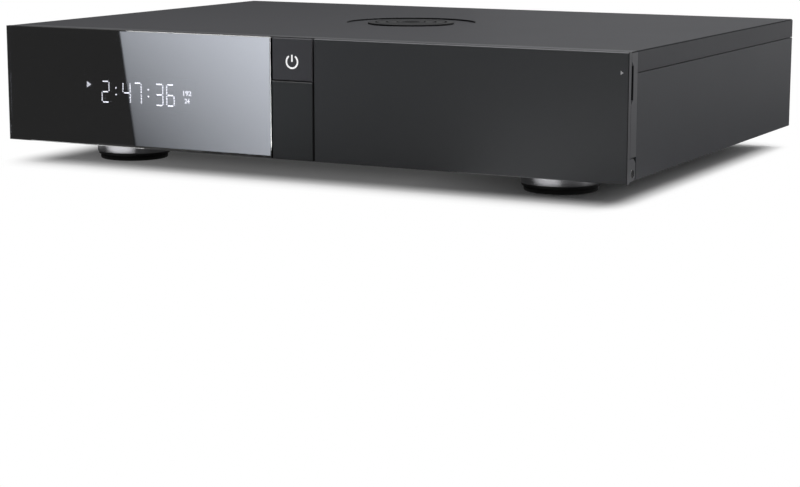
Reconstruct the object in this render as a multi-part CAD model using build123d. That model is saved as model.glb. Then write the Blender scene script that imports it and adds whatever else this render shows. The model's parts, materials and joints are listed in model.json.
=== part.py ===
"""Full-width media player with a glass display window, a power key and a flap door over two drive trays.

Millimetres. X runs to the right as seen from the front, Y to the back and Z up.
The origin is on the floor under the middle of the overall box.
"""
from build123d import *
import math
import os

# Case
case_width = 430.0
case_height = 72.6
case_depth = 302.0
wall_thickness = 3.0
base_thickness = 2.0
cover_thickness = 3.0
cover_flange_depth = 12.1
cover_seam = 0.4
hairline_gap = 0.15
cover_edge_chamfer = 0.8
rear_panel_thickness = 2.0

# Feet
foot_height = 15.0
foot_radius = 24.0
foot_cap_height = 11.8
foot_lip_height = 1.4
foot_lip_inset = 0.7
foot_edge_chamfer = 0.6
foot_groove_depth = 1.0
foot_pad_radius = 22.0
foot_pad_bore = 12.0
foot_from_side = 62.0
foot_from_front = 52.0
foot_from_rear = 52.0
foot_screw_radius = 2.0
foot_screw_head_radius = 3.6
foot_screw_head_height = 2.4
foot_screw_seat_depth = 6.0
foot_screw_end = 3.0

# Front panels
window_width = 199.5
column_width = 28.4
panel_gap = 0.8
glass_thickness = 2.7
backplate_thickness = 1.5
plate_overhang = 1.2
panel_chamfer = 0.5
glass_chamfer = 0.5
filler_gap = 0.5
frame_thickness = 9.3

# Power key
key_height = 25.4
key_side_gap = 0.3
key_top_gap = 0.3
key_travel = 1.2
key_rest_gap = 0.3
key_stem_width = 8.0
key_stem_clearance = 0.3
key_symbol_radius = 3.85
key_symbol_line = 1.0
key_symbol_drop = 1.3
key_symbol_depth = 0.8
key_symbol_gap_angle = 66.0
key_bar_length = 4.2
key_bar_rise = 2.05
retainer_width = 13.0
retainer_thickness = 0.8
retainer_gap = 0.3
stem_tail = 0.6
spring_radius = 6.4
spring_wire_radius = 0.35
spring_turns = 4.0
spring_end_gap = 0.05
spring_pocket_radius = 7.3
spring_pocket_depth = 4.5
switch_width = 6.0
switch_depth = 3.5
switch_plunger_radius = 1.7
switch_plunger_length = 1.0
key_board_width = 34.0
key_board_height = 16.0
board_thickness = 1.6
key_spacer_radius = 2.5
key_spacer_inset = 4.0

# Display
display_left = 59.0
display_width = 86.0
display_bottom = 23.0
display_height = 21.0
display_face_gap = 0.3
display_margin = 4.0
display_depth = 6.0
digit_relief = 0.2
digit_front_gap = 0.05
clock_reading = "2:47:36"
digit_width = 6.2
digit_height = 13.9
digit_stroke = 0.75
digit_gap = 0.35
digit_pitch = 8.35
digit_group_pitch = 24.6
first_digit_left = 73.1
digit_bottom = 26.4
colon_dot = 1.0
colon_lead = 4.5
colon_low = 5.0
colon_high = 9.3
window_opening_margin = 8.0
board_ledge = 5.0
board_clearance = 0.5

# Flap door and its hinge
door_back_gap = 0.3
pivot_height = 4.0
pivot_inset = 4.3
hinge_pin_radius = 2.5
hinge_running_gap = 0.06
arm_thickness = 5.0
arm_back_reach = 4.2
arm_top_reach = 8.7
arm_top_chamfer = 3.0
arm_bottom_chamfer = 2.0
arm_side_gap = 0.3
arm_swing_gap = 0.4
pin_grip = 12.0
magnet_radius = 4.0
magnet_thickness = 2.0
magnet_from_top = 10.0
magnet_from_edge = 22.0
finger_slot_bottom = 42.7
finger_slot_top = 67.5
finger_slot_depth = 2.9
finger_slot_reach = 12.0

# Drive bay and trays
bay_width = 118.0
bay_bottom = 5.5
tray_pitch = 31.0
tray_count = 2
tray_gap = 0.4
tray_travel = 10.0
tray_door_gap = 1.5
tray_front_thickness = 4.0
tray_plate_rise = 1.0
tray_plate_thickness = 1.5
tray_wall_height = 14.0
tray_wall_thickness = 1.5
drive_width = 101.6
drive_depth = 147.0
drive_height = 26.1
drive_side_gap = 0.3
drive_front_gap = 1.0
drive_lid_inset = 2.0
drive_lid_height = 1.5
drive_hub_radius = 12.0
drive_hub_depth = 0.5
runner_width = 5.0
runner_height = 3.0
runner_gap = 0.3
runner_front_gap = 0.8
cage_thickness = 1.2
cage_tail = 4.0
cage_foot_width = 9.0
drive_socket_width = 42.0
drive_socket_height = 7.0
drive_socket_depth = 6.0
drive_socket_rise = 3.0
drive_plug_gap = 0.3
finger_pull_width = 40.0
finger_pull_height = 13.0
finger_pull_depth = 2.8
finger_pull_undercut = 1.6
latch_offset = 42.0
latch_width = 10.0
latch_height = 5.4
latch_travel = 4.0
latch_gap = 0.3
latch_depth = 2.6
latch_proud = 0.8
latch_floor_gap = 0.1

# Rails, tabs and screws
rail_thickness = 2.0
rail_overlap = 14.0
rail_end_gap = 22.0
tab_width = 11.0
tab_thickness = 2.0
tab_from_base = 18.0
tab_spacing = 30.0
cover_lip_depth = 9.0
cover_lip_thickness = 1.5
cover_lip_end_gap = 16.0
screw_radius = 1.45
screw_hole_radius = 1.7
screw_thread_radius = 1.5
screw_head_radius = 2.8
screw_head_height = 1.8
screw_slot_width = 0.7
screw_length = 6.0
screw_tip_gap = 0.4
cover_screw_margin = 12.0
cover_screw_count = 4
cover_screw_from_top = 8.0

# Top recess and its disc
recess_radius = 42.8
recess_depth = 1.2
recess_from_front = 154.0
disc_radius = 28.6
disc_chamfer = 0.4
disc_ring_width = 1.2
disc_ring_depth = 0.35
disc_ring_radii = (24.0, 17.0, 10.0)

# Boards and what stands on them
standoff_height = 8.0
standoff_radius = 3.0
standoff_inset = 6.0
standoff_floor = 1.0
fan_board_gap = 1.0
board_cage_gap = 4.55
main_board_depth = 150.0
board_rear_gap = 0.5
processor_width = 24.0
processor_height = 2.0
processor_x = 70.0
processor_y = 62.0
heatsink_width = 60.0
heatsink_base = 4.0
heatsink_fin_height = 20.0
heatsink_fin_thickness = 1.5
heatsink_fin_count = 11
power_board_width = 118.0
power_board_depth = 88.0
power_board_from_side = 14.0
power_board_rear_gap = 16.0
transformer_width = 40.0
transformer_depth = 34.0
transformer_height = 30.0
transformer_flange = 4.0
capacitor_radius = 9.0
capacitor_height = 32.0
capacitor_pitch = 22.0
vent_slot_length = 30.0
vent_slot_width = 3.0
vent_slot_pitch = 8.0
vent_rows = 10
vent_columns = 3
vent_column_pitch = 44.0
vent_from_left = 100.0
vent_from_front = 150.0

# Flat cable from the display to the main board
ribbon_width = 22.0
ribbon_thickness = 0.8
ribbon_bend = 3.0
ribbon_rise = 2.0
ribbon_run_back = 9.0
ribbon_overlap = 8.0

# Fan
fan_size = 60.0
fan_depth = 15.0
fan_from_side = 14.0
fan_rise = 3.0
fan_bore_radius = 28.5
fan_screw_spacing = 50.0
fan_hub_radius = 13.0
fan_hub_depth = 10.0
fan_blade_tip = 27.3
fan_blade_count = 7
fan_blade_root = 2.0
fan_blade_chord = 11.0
fan_blade_thickness = 1.2
fan_blade_angle = 38.0
fan_strut_width = 4.0
fan_strut_depth = 2.5
fan_strut_root = 0.5
fan_hub_gap = 0.5
fan_shaft_radius = 1.5
fan_shaft_gap = 0.05
fan_bearing_radius = 4.0
guard_thickness = 1.0
guard_ring_width = 1.4
guard_ring_pitch = 6.2
guard_ring_count = 4
guard_rim_radius = 30.0
guard_rim_width = 2.4
guard_spoke_width = 2.0
guard_ear_radius = 4.0

# Rear sockets
cutout_gap = 0.3
socket_proud = 0.8
socket_row_lead = 20.0
socket_row_margin = 6.5
network_width = 16.0
network_height = 13.5
network_depth = 21.0
network_cavity_width = 11.8
network_cavity_height = 8.0
network_cavity_depth = 13.0
network_cavity_rise = 2.0
network_contact_count = 8
network_contact_pitch = 1.02
network_contact_width = 0.4
network_contact_height = 0.9
network_contact_setback = 3.0
network_key_width = 6.0
network_key_height = 1.0
usb_width = 14.6
usb_height = 15.8
usb_depth = 18.0
usb_slot_width = 12.6
usb_slot_height = 5.2
usb_slot_depth = 9.0
usb_slot_pitch = 7.6
usb_first_slot_rise = 1.4
usb_tongue_thickness = 1.9
usb_tongue_gap = 0.6
hdmi_pitch = 24.0
hdmi_count = 2
hdmi_width = 16.0
hdmi_height = 6.6
hdmi_depth = 12.0
hdmi_slot_width = 14.0
hdmi_slot_height = 4.6
hdmi_slot_depth = 8.0
hdmi_slot_chamfer = 1.4
hdmi_tongue_width = 11.0
hdmi_tongue_thickness = 0.9
hdmi_tongue_setback = 1.0
optical_width = 12.0
optical_height = 13.0
optical_depth = 16.0
optical_frame = 2.0
optical_flap_depth = 1.0
line_pitch = 15.0
line_count = 2
line_body_width = 13.0
line_body_depth = 14.0
line_body_height = 14.0
line_barrel_radius = 4.15
line_bore_radius = 1.8
line_barrel_length = 7.5
line_bore_depth = 12.0
antenna_reach = 9.0
antenna_radius = 3.1
antenna_nut_radius = 4.6
antenna_nut_thickness = 2.0
antenna_from_top = 20.0
antenna_from_board_edge = 6.0
antenna_bore_radius = 0.7
antenna_bore_depth = 5.0
antenna_tail = 4.0

# Mains inlet and rocker switch
inlet_from_right = 52.0
inlet_rise = 34.0
inlet_flange_width = 50.0
inlet_flange_height = 24.0
inlet_flange_thickness = 1.6
inlet_screw_spacing = 40.0
inlet_body_width = 28.0
inlet_body_height = 20.0
inlet_body_depth = 19.0
inlet_cavity_width = 24.2
inlet_cavity_height = 16.4
inlet_cavity_depth = 15.0
inlet_cavity_chamfer = 4.0
inlet_pin_width = 2.0
inlet_pin_height = 4.0
inlet_pin_length = 10.0
inlet_pin_spacing = 7.0
inlet_pin_offset = 2.0
rocker_from_right = 100.0
rocker_rise = 34.0
rocker_frame_width = 15.0
rocker_frame_height = 21.0
rocker_frame_thickness = 1.4
rocker_frame_wall = 2.0
rocker_box_depth = 13.0
rocker_width = 10.2
rocker_swing_radius = 8.0
rocker_swing_gap = 0.4
rocker_pivot_depth = 1.5
rocker_front = 3.6
rocker_rise_at_end = 1.1
rocker_back = 3.0
rocker_tilt = 7.0
rocker_pin_radius = 1.0
rocker_pin_gap = 0.06
rocker_pin_length = 1.5

# How far a cut runs past the face it opens
past = 1.0

# Planes that the pieces share
left_x = -case_width / 2
right_x = case_width / 2
front_y = -(case_depth + antenna_reach) / 2
rear_y = front_y + case_depth
base_z = foot_height
top_z = base_z + case_height
floor_z = base_z + base_thickness
ceiling_z = top_z - cover_thickness
seam_z = top_z - cover_flange_depth - cover_seam
wall_left = left_x + wall_thickness
wall_right = right_x - wall_thickness
front_stack = glass_thickness + backplate_thickness
frame_front = front_y + front_stack
frame_back = frame_front + frame_thickness
panel_inner_y = rear_y - rear_panel_thickness

# Columns of the front, from left to right
window_right = left_x + window_width
column_left = window_right + panel_gap
column_right = column_left + column_width
door_left = column_right + panel_gap
door_thickness = front_stack - door_back_gap
door_back = front_y + door_thickness
key_left = column_left + key_side_gap
key_right = column_right - key_side_gap
key_top = top_z - key_top_gap
key_bottom = key_top - key_height
key_x = (key_left + key_right) / 2
key_z = (key_top + key_bottom) / 2
key_thickness = front_stack - key_travel - key_rest_gap
plate_low = base_z - plate_overhang

# Hinge line of the door
pivot_y = frame_front + pivot_inset
pivot_z = base_z + pivot_height
notch_top = pivot_z + math.hypot(arm_top_reach, arm_back_reach - arm_top_chamfer) + arm_swing_gap

# Drive bay
bay_x = (door_left + right_x) / 2
bay_left = bay_x - bay_width / 2
bay_right = bay_x + bay_width / 2
bay_low = base_z + bay_bottom
bay_high = bay_low + tray_pitch * tray_count
tray_face_y = door_back + tray_door_gap + tray_travel
tray_back_of_face = tray_face_y + tray_front_thickness
drive_front_y = tray_back_of_face + drive_front_gap
drive_back_y = drive_front_y + drive_depth
socket_front_y = drive_back_y + drive_plug_gap
backplane_y = socket_front_y + drive_socket_depth
cage_back_y = backplane_y + board_thickness + cage_tail

# Boards, between the fan and the drive cage or along the right wall
fan_x = wall_left + fan_from_side + fan_size / 2
board_z = floor_z + standoff_height
board_top = board_z + board_thickness
main_left = fan_x + fan_size / 2 + fan_board_gap
main_right = bay_left - cage_thickness - cage_foot_width - board_cage_gap
main_back = panel_inner_y - board_rear_gap
main_front = main_back - main_board_depth
power_right = wall_right - power_board_from_side
power_left = power_right - power_board_width
power_back = panel_inner_y - power_board_rear_gap
power_front = power_back - power_board_depth

# Rear fittings, the sockets spread evenly along the main board
hdmi_row_width = hdmi_width + hdmi_pitch * (hdmi_count - 1)
line_row_width = line_body_width + line_pitch * (line_count - 1)
sockets_width = network_width + usb_width + hdmi_row_width + optical_width + line_row_width
socket_row_width = main_right - main_left - socket_row_lead - socket_row_margin
socket_gap = (socket_row_width - sockets_width) / 4
network_left = main_left + socket_row_lead
usb_left = network_left + network_width + socket_gap
hdmi_left = usb_left + usb_width + socket_gap
optical_left = hdmi_left + hdmi_row_width + socket_gap
line_left = optical_left + optical_width + socket_gap
fan_z = floor_z + fan_rise + fan_size / 2
fan_back = panel_inner_y
fan_front = fan_back - fan_depth
inlet_x = right_x - inlet_from_right
inlet_z = base_z + inlet_rise
rocker_x = right_x - rocker_from_right
rocker_z = base_z + rocker_rise
rocker_pivot_y = rear_y + rocker_frame_thickness - rocker_pivot_depth - rocker_front

FEET = [
    (x, y)
    for x in (left_x + foot_from_side, right_x - foot_from_side)
    for y in (front_y + foot_from_front, rear_y - foot_from_rear)
]

SEGMENTS = {
    "0": "abcdef",
    "1": "bc",
    "2": "abged",
    "3": "abgcd",
    "4": "fgbc",
    "5": "afgcd",
    "6": "afgedc",
    "7": "abc",
    "8": "abcdefg",
    "9": "abcdfg",
}


def block(x, y, z):
    """A box between three (low, high) pairs."""
    size = [high - low for low, high in (x, y, z)]
    return Pos(x[0], y[0], z[0]) * Box(*size, align=(Align.MIN, Align.MIN, Align.MIN))


def upright(radius, x, y, z):
    """A round bar along Z from z[0] to z[1]."""
    bar = Cylinder(radius, z[1] - z[0], align=(Align.CENTER, Align.CENTER, Align.MIN))
    return Pos(x, y, z[0]) * bar


def rearward(radius, x, y, z):
    """A round bar along Y from y[0] to y[1]."""
    bar = Cylinder(radius, y[1] - y[0], align=(Align.CENTER, Align.CENTER, Align.MIN))
    return Pos(x, y[0], z) * Rot(-90, 0, 0) * bar


def sideways(radius, x, y, z):
    """A round bar along X from x[0] to x[1]."""
    bar = Cylinder(radius, x[1] - x[0], align=(Align.CENTER, Align.CENTER, Align.MIN))
    return Pos(x[0], y, z) * Rot(0, 90, 0) * bar


def side_profile(points, x):
    """A plate along X from x[0] to x[1] with its outline given as (y, z) points."""
    outline = make_face(Polyline(*[(x[0], y, z) for y, z in points], close=True))
    return extrude(outline, amount=x[1] - x[0], dir=(1, 0, 0))


def rear_profile(points, y):
    """A plate along Y from y[0] to y[1] with its outline given as (x, z) points."""
    outline = make_face(Polyline(*[(x, y[0], z) for x, z in points], close=True))
    return extrude(outline, amount=y[1] - y[0], dir=(0, 1, 0))


def front_panel(x, thickness, z, bevel):
    """A panel of the front with its front edges bevelled."""
    panel = block(x, (front_y, front_y + thickness), z)
    front_edges = panel.faces().sort_by(Axis.Y)[0].edges()
    return chamfer(front_edges, bevel)


# Where the screws sit

def side_tab_places(tab_x):
    """Screw places on the tab at one side."""
    low = base_z + tab_from_base
    return [(tab_x, low), (tab_x, low + tab_spacing)]


def tab_middles():
    """The middle of the left and the right tab."""
    return [wall_left + tab_width / 2, wall_right - tab_width / 2]


def cover_lip_span():
    """X range of the cover's rear lip, which stops short of the fan."""
    return fan_x + fan_size / 2 + cover_lip_end_gap, wall_right - cover_lip_end_gap


def cover_screw_places():
    """Screws that hold the cover's rear lip."""
    low, high = cover_lip_span()
    first = low + cover_screw_margin
    step = (high - cover_screw_margin - first) / (cover_screw_count - 1)
    z = top_z - cover_screw_from_top
    return [(first + i * step, z) for i in range(cover_screw_count)]


def screw_hole_depth(clamped):
    """Depth of a blind hole for a screw that clamps this thickness."""
    return screw_length - clamped + screw_tip_gap


def fan_screw_places():
    """Screws at the fan's four corners."""
    half = fan_screw_spacing / 2
    return [(fan_x + i * half, fan_z + j * half) for i in (-1, 1) for j in (-1, 1)]


def inlet_screw_places():
    """Screws at the two ends of the inlet's flange."""
    half = inlet_screw_spacing / 2
    return [(inlet_x - half, inlet_z), (inlet_x + half, inlet_z)]


def display_board_places():
    """Screws at the four corners of the display's board."""
    x, z = display_board_box()
    inset = board_ledge / 2 + board_clearance
    return [(px, pz) for px in (x[0] + inset, x[1] - inset) for pz in (z[0] + inset, z[1] - inset)]


# Case

def top_cover():
    """Top plate with side flanges, a rear lip and the round recess."""
    y = (frame_back + hairline_gap, rear_y)
    outside = block((left_x, right_x), y, (seam_z + cover_seam, top_z))
    long_edges = outside.edges().filter_by(Axis.Y).group_by(Axis.Z)[-1]
    outside = chamfer(long_edges, cover_edge_chamfer)
    inside = block((wall_left, wall_right), (y[0] - past, y[1] + past), (seam_z, ceiling_z))
    recess_y = front_y + recess_from_front
    recess = upright(recess_radius, 0, recess_y, (top_z - recess_depth, top_z + past))
    lip_y = (panel_inner_y - cover_lip_thickness, panel_inner_y)
    lip = block(cover_lip_span(), lip_y, (ceiling_z - cover_lip_depth, ceiling_z))
    for x, z in cover_screw_places():
        lip -= rearward(screw_thread_radius, x, (lip_y[0] - past, lip_y[1] + past), z)
    return outside - inside - recess + lip


def top_disc():
    """Round disc in the recess, with plain concentric rings."""
    y = front_y + recess_from_front
    disc = upright(disc_radius, 0, y, (top_z - recess_depth, top_z))
    rim = disc.faces().sort_by(Axis.Z)[-1].edges()
    disc = chamfer(rim, disc_chamfer)
    for radius in disc_ring_radii:
        ring = upright(radius, 0, y, (top_z - disc_ring_depth, top_z + past))
        ring -= upright(radius - disc_ring_width, 0, y, (top_z - disc_ring_depth, top_z + past))
        disc -= ring
    return disc


def chassis_tray():
    """Bottom plate and side walls, with front and rear tabs, foot holes and vents."""
    y = (frame_back + hairline_gap, rear_y)
    tray = block((left_x, right_x), y, (base_z, seam_z))
    inside = block((wall_left, wall_right), (y[0] - past, y[1] + past), (floor_z, seam_z + past))
    tray -= inside
    tab_z = (floor_z, seam_z - rail_overlap - cover_seam)
    rear_tab_y = (panel_inner_y - tab_thickness, panel_inner_y)
    front_tab_y = (y[0], y[0] + tab_thickness)
    for tab_x in ((wall_left, wall_left + tab_width), (wall_right - tab_width, wall_right)):
        tray += block(tab_x, front_tab_y, tab_z)
        tray += block(tab_x, rear_tab_y, tab_z)
    for tab_x in tab_middles():
        for x, z in side_tab_places(tab_x):
            tray -= rearward(screw_hole_radius, x, (front_tab_y[0] - past, front_tab_y[1] + past), z)
            tray -= rearward(screw_thread_radius, x, (rear_tab_y[0] - past, rear_tab_y[1] + past), z)
    for x, foot_y in FEET:
        tray -= upright(foot_screw_radius, x, foot_y, (base_z - past, floor_z + past))
    for column in range(vent_columns):
        for row in range(vent_rows):
            x = left_x + vent_from_left + column * vent_column_pitch
            slot_y = front_y + vent_from_front + row * vent_slot_pitch
            half = vent_slot_length / 2 - vent_slot_width / 2
            slot = SlotCenterToCenter(2 * half, vent_slot_width)
            tray -= Pos(x, slot_y, base_z - past) * extrude(slot, amount=base_thickness + 2 * past)
    return tray


def cover_rails():
    """Two strips inside the walls that carry the cover."""
    y = (frame_back + rail_end_gap, rear_y - rail_end_gap)
    z = (seam_z - rail_overlap, ceiling_z)
    left = block((wall_left, wall_left + rail_thickness), y, z)
    right = block((wall_right - rail_thickness, wall_right), y, z)
    return Compound(children=[left, right])


def rear_panel():
    """Rear plate with the holes for everything that looks out of it."""
    x = (wall_left + hairline_gap, wall_right - hairline_gap)
    y = (panel_inner_y, rear_y)
    through = (y[0] - past, y[1] + past)
    panel = block(x, y, (floor_z, ceiling_z - hairline_gap))
    for hole_x, z in rear_hole_places():
        panel -= rearward(screw_hole_radius, hole_x, through, z)
    panel -= rearward(fan_bore_radius, fan_x, through, fan_z)
    for cut_x, cut_z in socket_cutouts():
        panel -= block(cut_x, through, cut_z)
    for hole_x, z in line_centres():
        panel -= rearward(line_barrel_radius + cutout_gap, hole_x, through, z)
    for hole_x, z in antenna_centres():
        panel -= rearward(antenna_radius + cutout_gap, hole_x, through, z)
    return panel


def rear_hole_places():
    """All screw holes of the rear panel."""
    places = cover_screw_places() + fan_screw_places() + inlet_screw_places()
    for tab_x in tab_middles():
        places += side_tab_places(tab_x)
    return places


def screw(x, y, z, way):
    """A pan-head screw with the underside of its head at y, its shank along way (+1 or -1)."""
    tip = y + way * screw_length
    crown = y - way * screw_head_height
    shank = rearward(screw_radius, x, sorted((y, tip)), z)
    head = rearward(screw_head_radius, x, sorted((y, crown)), z)
    slot_y = sorted((crown, crown + way * screw_head_height / 2))
    half = screw_slot_width / 2
    slot = block((x - screw_head_radius, x + screw_head_radius), slot_y, (z - half, z + half))
    return shank + head - slot


def rear_screws():
    """Every screw that shows on the rear panel."""
    flush = cover_screw_places()
    for tab_x in tab_middles():
        flush += side_tab_places(tab_x)
    screws = [screw(x, rear_y, z, -1) for x, z in flush]
    guard_y = rear_y + guard_thickness
    screws += [screw(x, guard_y, z, -1) for x, z in fan_screw_places()]
    flange_y = rear_y + inlet_flange_thickness
    screws += [screw(x, flange_y, z, -1) for x, z in inlet_screw_places()]
    return Compound(children=screws)


# Front frame

def finger_slot():
    """Slot behind the door's edge, with its ends cut at 45 degrees."""
    low = base_z + finger_slot_bottom
    high = base_z + finger_slot_top
    y = (frame_front, frame_front + finger_slot_depth)
    points = [
        (y[0] - past, low - past),
        (y[1], low + finger_slot_depth),
        (y[1], high - finger_slot_depth),
        (y[0] - past, high + past),
    ]
    return side_profile(points, (right_x - finger_slot_reach, right_x + past))


def arm_slots():
    """Where the two hinge arms stand: x range of each arm."""
    return [(door_left, door_left + arm_thickness), (right_x - arm_thickness, right_x)]


def magnet_places():
    """Centres of the door magnets."""
    z = top_z - magnet_from_top
    return [(door_left + magnet_from_edge, z), (right_x - magnet_from_edge, z)]


def display_module_box():
    """X and Z ranges of the display module."""
    x = left_x + display_left
    z = base_z + display_bottom
    return (x - display_margin, x + display_width + display_margin), (
        z - display_margin,
        z + display_height + display_margin,
    )


def display_board_box():
    """X and Z ranges of the display's board."""
    x, z = display_module_box()
    grow = window_opening_margin + board_ledge - board_clearance
    return (x[0] - grow, x[1] + grow), (z[0] - grow, z[1] + grow)


def front_frame():
    """Thick frame behind the front panels."""
    y = (frame_front, frame_back)
    through = (y[0] - past, y[1] + past)
    frame = block((left_x, right_x), y, (base_z, top_z))
    top_ends = frame.edges().filter_by(Axis.Y).group_by(Axis.Z)[-1]
    frame = chamfer(top_ends, cover_edge_chamfer)
    module_x, module_z = display_module_box()
    margin = window_opening_margin
    opening_x = (module_x[0] - margin, module_x[1] + margin)
    opening_z = (module_z[0] - margin, module_z[1] + margin)
    frame -= block(opening_x, through, opening_z)
    ledge_x = (opening_x[0] - board_ledge, opening_x[1] + board_ledge)
    ledge_z = (opening_z[0] - board_ledge, opening_z[1] + board_ledge)
    frame -= block(ledge_x, (frame_front + display_depth, through[1]), ledge_z)
    stem_half = key_stem_width / 2 + key_stem_clearance
    frame -= block((key_x - stem_half, key_x + stem_half), through, (key_z - stem_half, key_z + stem_half))
    frame -= rearward(spring_pocket_radius, key_x, (through[0], y[0] + spring_pocket_depth), key_z)
    relief_x = (door_left - panel_gap / 2, right_x + past)
    frame -= block(relief_x, (through[0], pivot_y), (base_z - past, pivot_z))
    frame += sideways(pivot_height, (door_left, right_x), pivot_y, pivot_z)
    frame -= block((bay_left, bay_right), through, (bay_low, bay_high))
    for low, high in arm_slots():
        notch_x = (low - arm_side_gap, high + arm_side_gap)
        frame -= block(notch_x, through, (base_z - past, notch_top))
    frame -= finger_slot()
    for x in hinge_pin_spans():
        frame -= sideways(hinge_pin_radius, x, pivot_y, pivot_z)
    for x, z in magnet_places():
        frame -= rearward(magnet_radius, x, (through[0], y[0] + magnet_thickness), z)
    for x, z in frame_screw_places():
        hole_y = (y[1] - screw_hole_depth(hairline_gap + tab_thickness), through[1])
        frame -= rearward(screw_thread_radius, x, hole_y, z)
    for x, z in display_board_places():
        seat_y = frame_front + display_depth
        hole_y = (seat_y - screw_hole_depth(board_thickness), seat_y + past)
        frame -= rearward(screw_thread_radius, x, hole_y, z)
    return frame


def frame_screw_places():
    """Screws that hold the frame to the front tabs of the chassis."""
    places = []
    for tab_x in tab_middles():
        places += side_tab_places(tab_x)
    return places


def frame_screws():
    """Screws driven forward into the frame."""
    seat = frame_back + hairline_gap + tab_thickness
    board_seat = frame_front + display_depth + board_thickness
    screws = [screw(x, seat, z, -1) for x, z in frame_screw_places()]
    screws += [screw(x, board_seat, z, -1) for x, z in display_board_places()]
    return Compound(children=screws)


# Display

def display_window():
    """Smoked glass over the whole left of the front."""
    return front_panel((left_x, window_right), glass_thickness, (plate_low, top_z), glass_chamfer)


def display_aperture(shrink):
    """X and Z ranges of the display's aperture, made smaller all round by shrink."""
    x = left_x + display_left
    z = base_z + display_bottom
    return (x + shrink, x + display_width - shrink), (z + shrink, z + display_height - shrink)


def window_backplate():
    """Black plate that the glass is bonded to."""
    y = (front_y + glass_thickness, frame_front)
    plate = block((left_x, window_right), y, (plate_low, top_z))
    x, z = display_aperture(0)
    return plate - block(x, (y[0] - past, y[1] + past), z)


def display_module():
    """Display block with a raised face in the backplate's aperture."""
    x, z = display_module_box()
    face_x, face_z = display_aperture(display_face_gap)
    face_y = front_y + glass_thickness + digit_front_gap + digit_relief
    body = block(x, (frame_front, frame_front + display_depth), z)
    return body + block(face_x, (face_y, frame_front), face_z)


def display_board():
    """Circuit board behind the display, on the frame's ledge."""
    x, z = display_board_box()
    y = (frame_front + display_depth, frame_front + display_depth + board_thickness)
    board = block(x, y, z)
    for hole_x, hole_z in display_board_places():
        board -= rearward(screw_hole_radius, hole_x, (y[0] - past, y[1] + past), hole_z)
    return board


def segment_boxes(x, z):
    """The seven bars of one digit: x and z range of each, by letter."""
    half = digit_height / 2
    low, middle, high = z, z + half, z + digit_height
    stroke = digit_stroke
    flat_x = (x + stroke + digit_gap, x + digit_width - stroke - digit_gap)
    left = (x, x + stroke)
    right = (x + digit_width - stroke, x + digit_width)
    lower = (low + digit_gap + stroke / 2, middle - digit_gap)
    upper = (middle + digit_gap, high - digit_gap - stroke / 2)
    return {
        "a": (flat_x, (high - stroke, high)),
        "b": (right, upper),
        "c": (right, lower),
        "d": (flat_x, (low, low + stroke)),
        "e": (left, lower),
        "f": (left, upper),
        "g": (flat_x, (middle - stroke / 2, middle + stroke / 2)),
    }


def display_digits():
    """Lit bars of the clock reading."""
    y = front_y + glass_thickness + digit_front_gap
    y = (y, y + digit_relief)
    z = base_z + digit_bottom
    groups = clock_reading.split(":")
    bars = []
    for index, digits in enumerate(groups):
        last = left_x + first_digit_left + index * digit_group_pitch
        for place, digit in enumerate(reversed(digits)):
            boxes = segment_boxes(last - place * digit_pitch, z)
            bars += [block(boxes[name][0], y, boxes[name][1]) for name in SEGMENTS[digit]]
    for index in range(len(groups) - 1):
        dot_x = left_x + first_digit_left + index * digit_group_pitch + digit_width + colon_lead
        for rise in (colon_low, colon_high):
            bars.append(block((dot_x, dot_x + colon_dot), y, (z + rise, z + rise + colon_dot)))
    return Compound(children=bars)


# Power key and what is behind it

def filler_plate():
    """Plain plate under the key."""
    z = (plate_low, key_bottom - filler_gap)
    return front_panel((column_left, column_right), front_stack, z, panel_chamfer)


def symbol_shape(y):
    """Standby symbol: an open ring with an upright bar, between two depths."""
    centre_z = key_z - key_symbol_drop
    outer = rearward(key_symbol_radius + key_symbol_line / 2, key_x, y, centre_z)
    inner = rearward(key_symbol_radius - key_symbol_line / 2, key_x, (y[0] - past, y[1] + past), centre_z)
    ring = outer - inner
    reach = 2 * key_symbol_radius
    spread = reach * math.tan(math.radians(key_symbol_gap_angle / 2))
    wedge = rear_profile(
        [(key_x, centre_z), (key_x - spread, centre_z + reach), (key_x + spread, centre_z + reach)],
        (y[0] - past, y[1] + past),
    )
    ring -= wedge
    bar_top = centre_z + key_bar_rise + key_bar_length / 2
    bar_x = (key_x - key_symbol_line / 2, key_x + key_symbol_line / 2)
    bar = block(bar_x, y, (bar_top - key_bar_length, bar_top))
    return ring, bar


def power_key():
    """Square key with its stem, and a pocket for the symbol."""
    head = front_panel((key_left, key_right), key_thickness, (key_bottom, key_top), panel_chamfer)
    half = key_stem_width / 2
    stem_y = (front_y + key_thickness, stem_end())
    stem = block((key_x - half, key_x + half), stem_y, (key_z - half, key_z + half))
    ring, bar = symbol_shape((front_y - past, front_y + key_symbol_depth))
    return head + stem - ring - bar


def stem_end():
    """Y of the stem's end behind the retainer."""
    return frame_back + retainer_gap + retainer_thickness + stem_tail


def power_symbol():
    """Light guide in the shape of the standby symbol."""
    ring, bar = symbol_shape((front_y, front_y + key_symbol_depth))
    return Compound(children=[ring, bar])


def key_retainer():
    """Clip on the stem that keeps the key in the frame."""
    y = (frame_back + retainer_gap, frame_back + retainer_gap + retainer_thickness)
    half = retainer_width / 2
    hole = key_stem_width / 2
    through = (y[0] - past, y[1] + past)
    clip = block((key_x - half, key_x + half), y, (key_z - half, key_z + half))
    return clip - block((key_x - hole, key_x + hole), through, (key_z - hole, key_z + hole))


def key_spring():
    """Coil spring round the stem, between the key and the frame's pocket."""
    low = front_y + key_thickness + spring_wire_radius + spring_end_gap
    high = frame_front + spring_pocket_depth - spring_wire_radius - spring_end_gap
    length = high - low
    line = Helix(pitch=length / spring_turns, height=length, radius=spring_radius)
    section = Plane(origin=line @ 0, z_dir=line % 0) * Circle(spring_wire_radius)
    coil = sweep(section, path=line)
    return Pos(key_x, low, key_z) * Rot(-90, 0, 0) * coil


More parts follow.
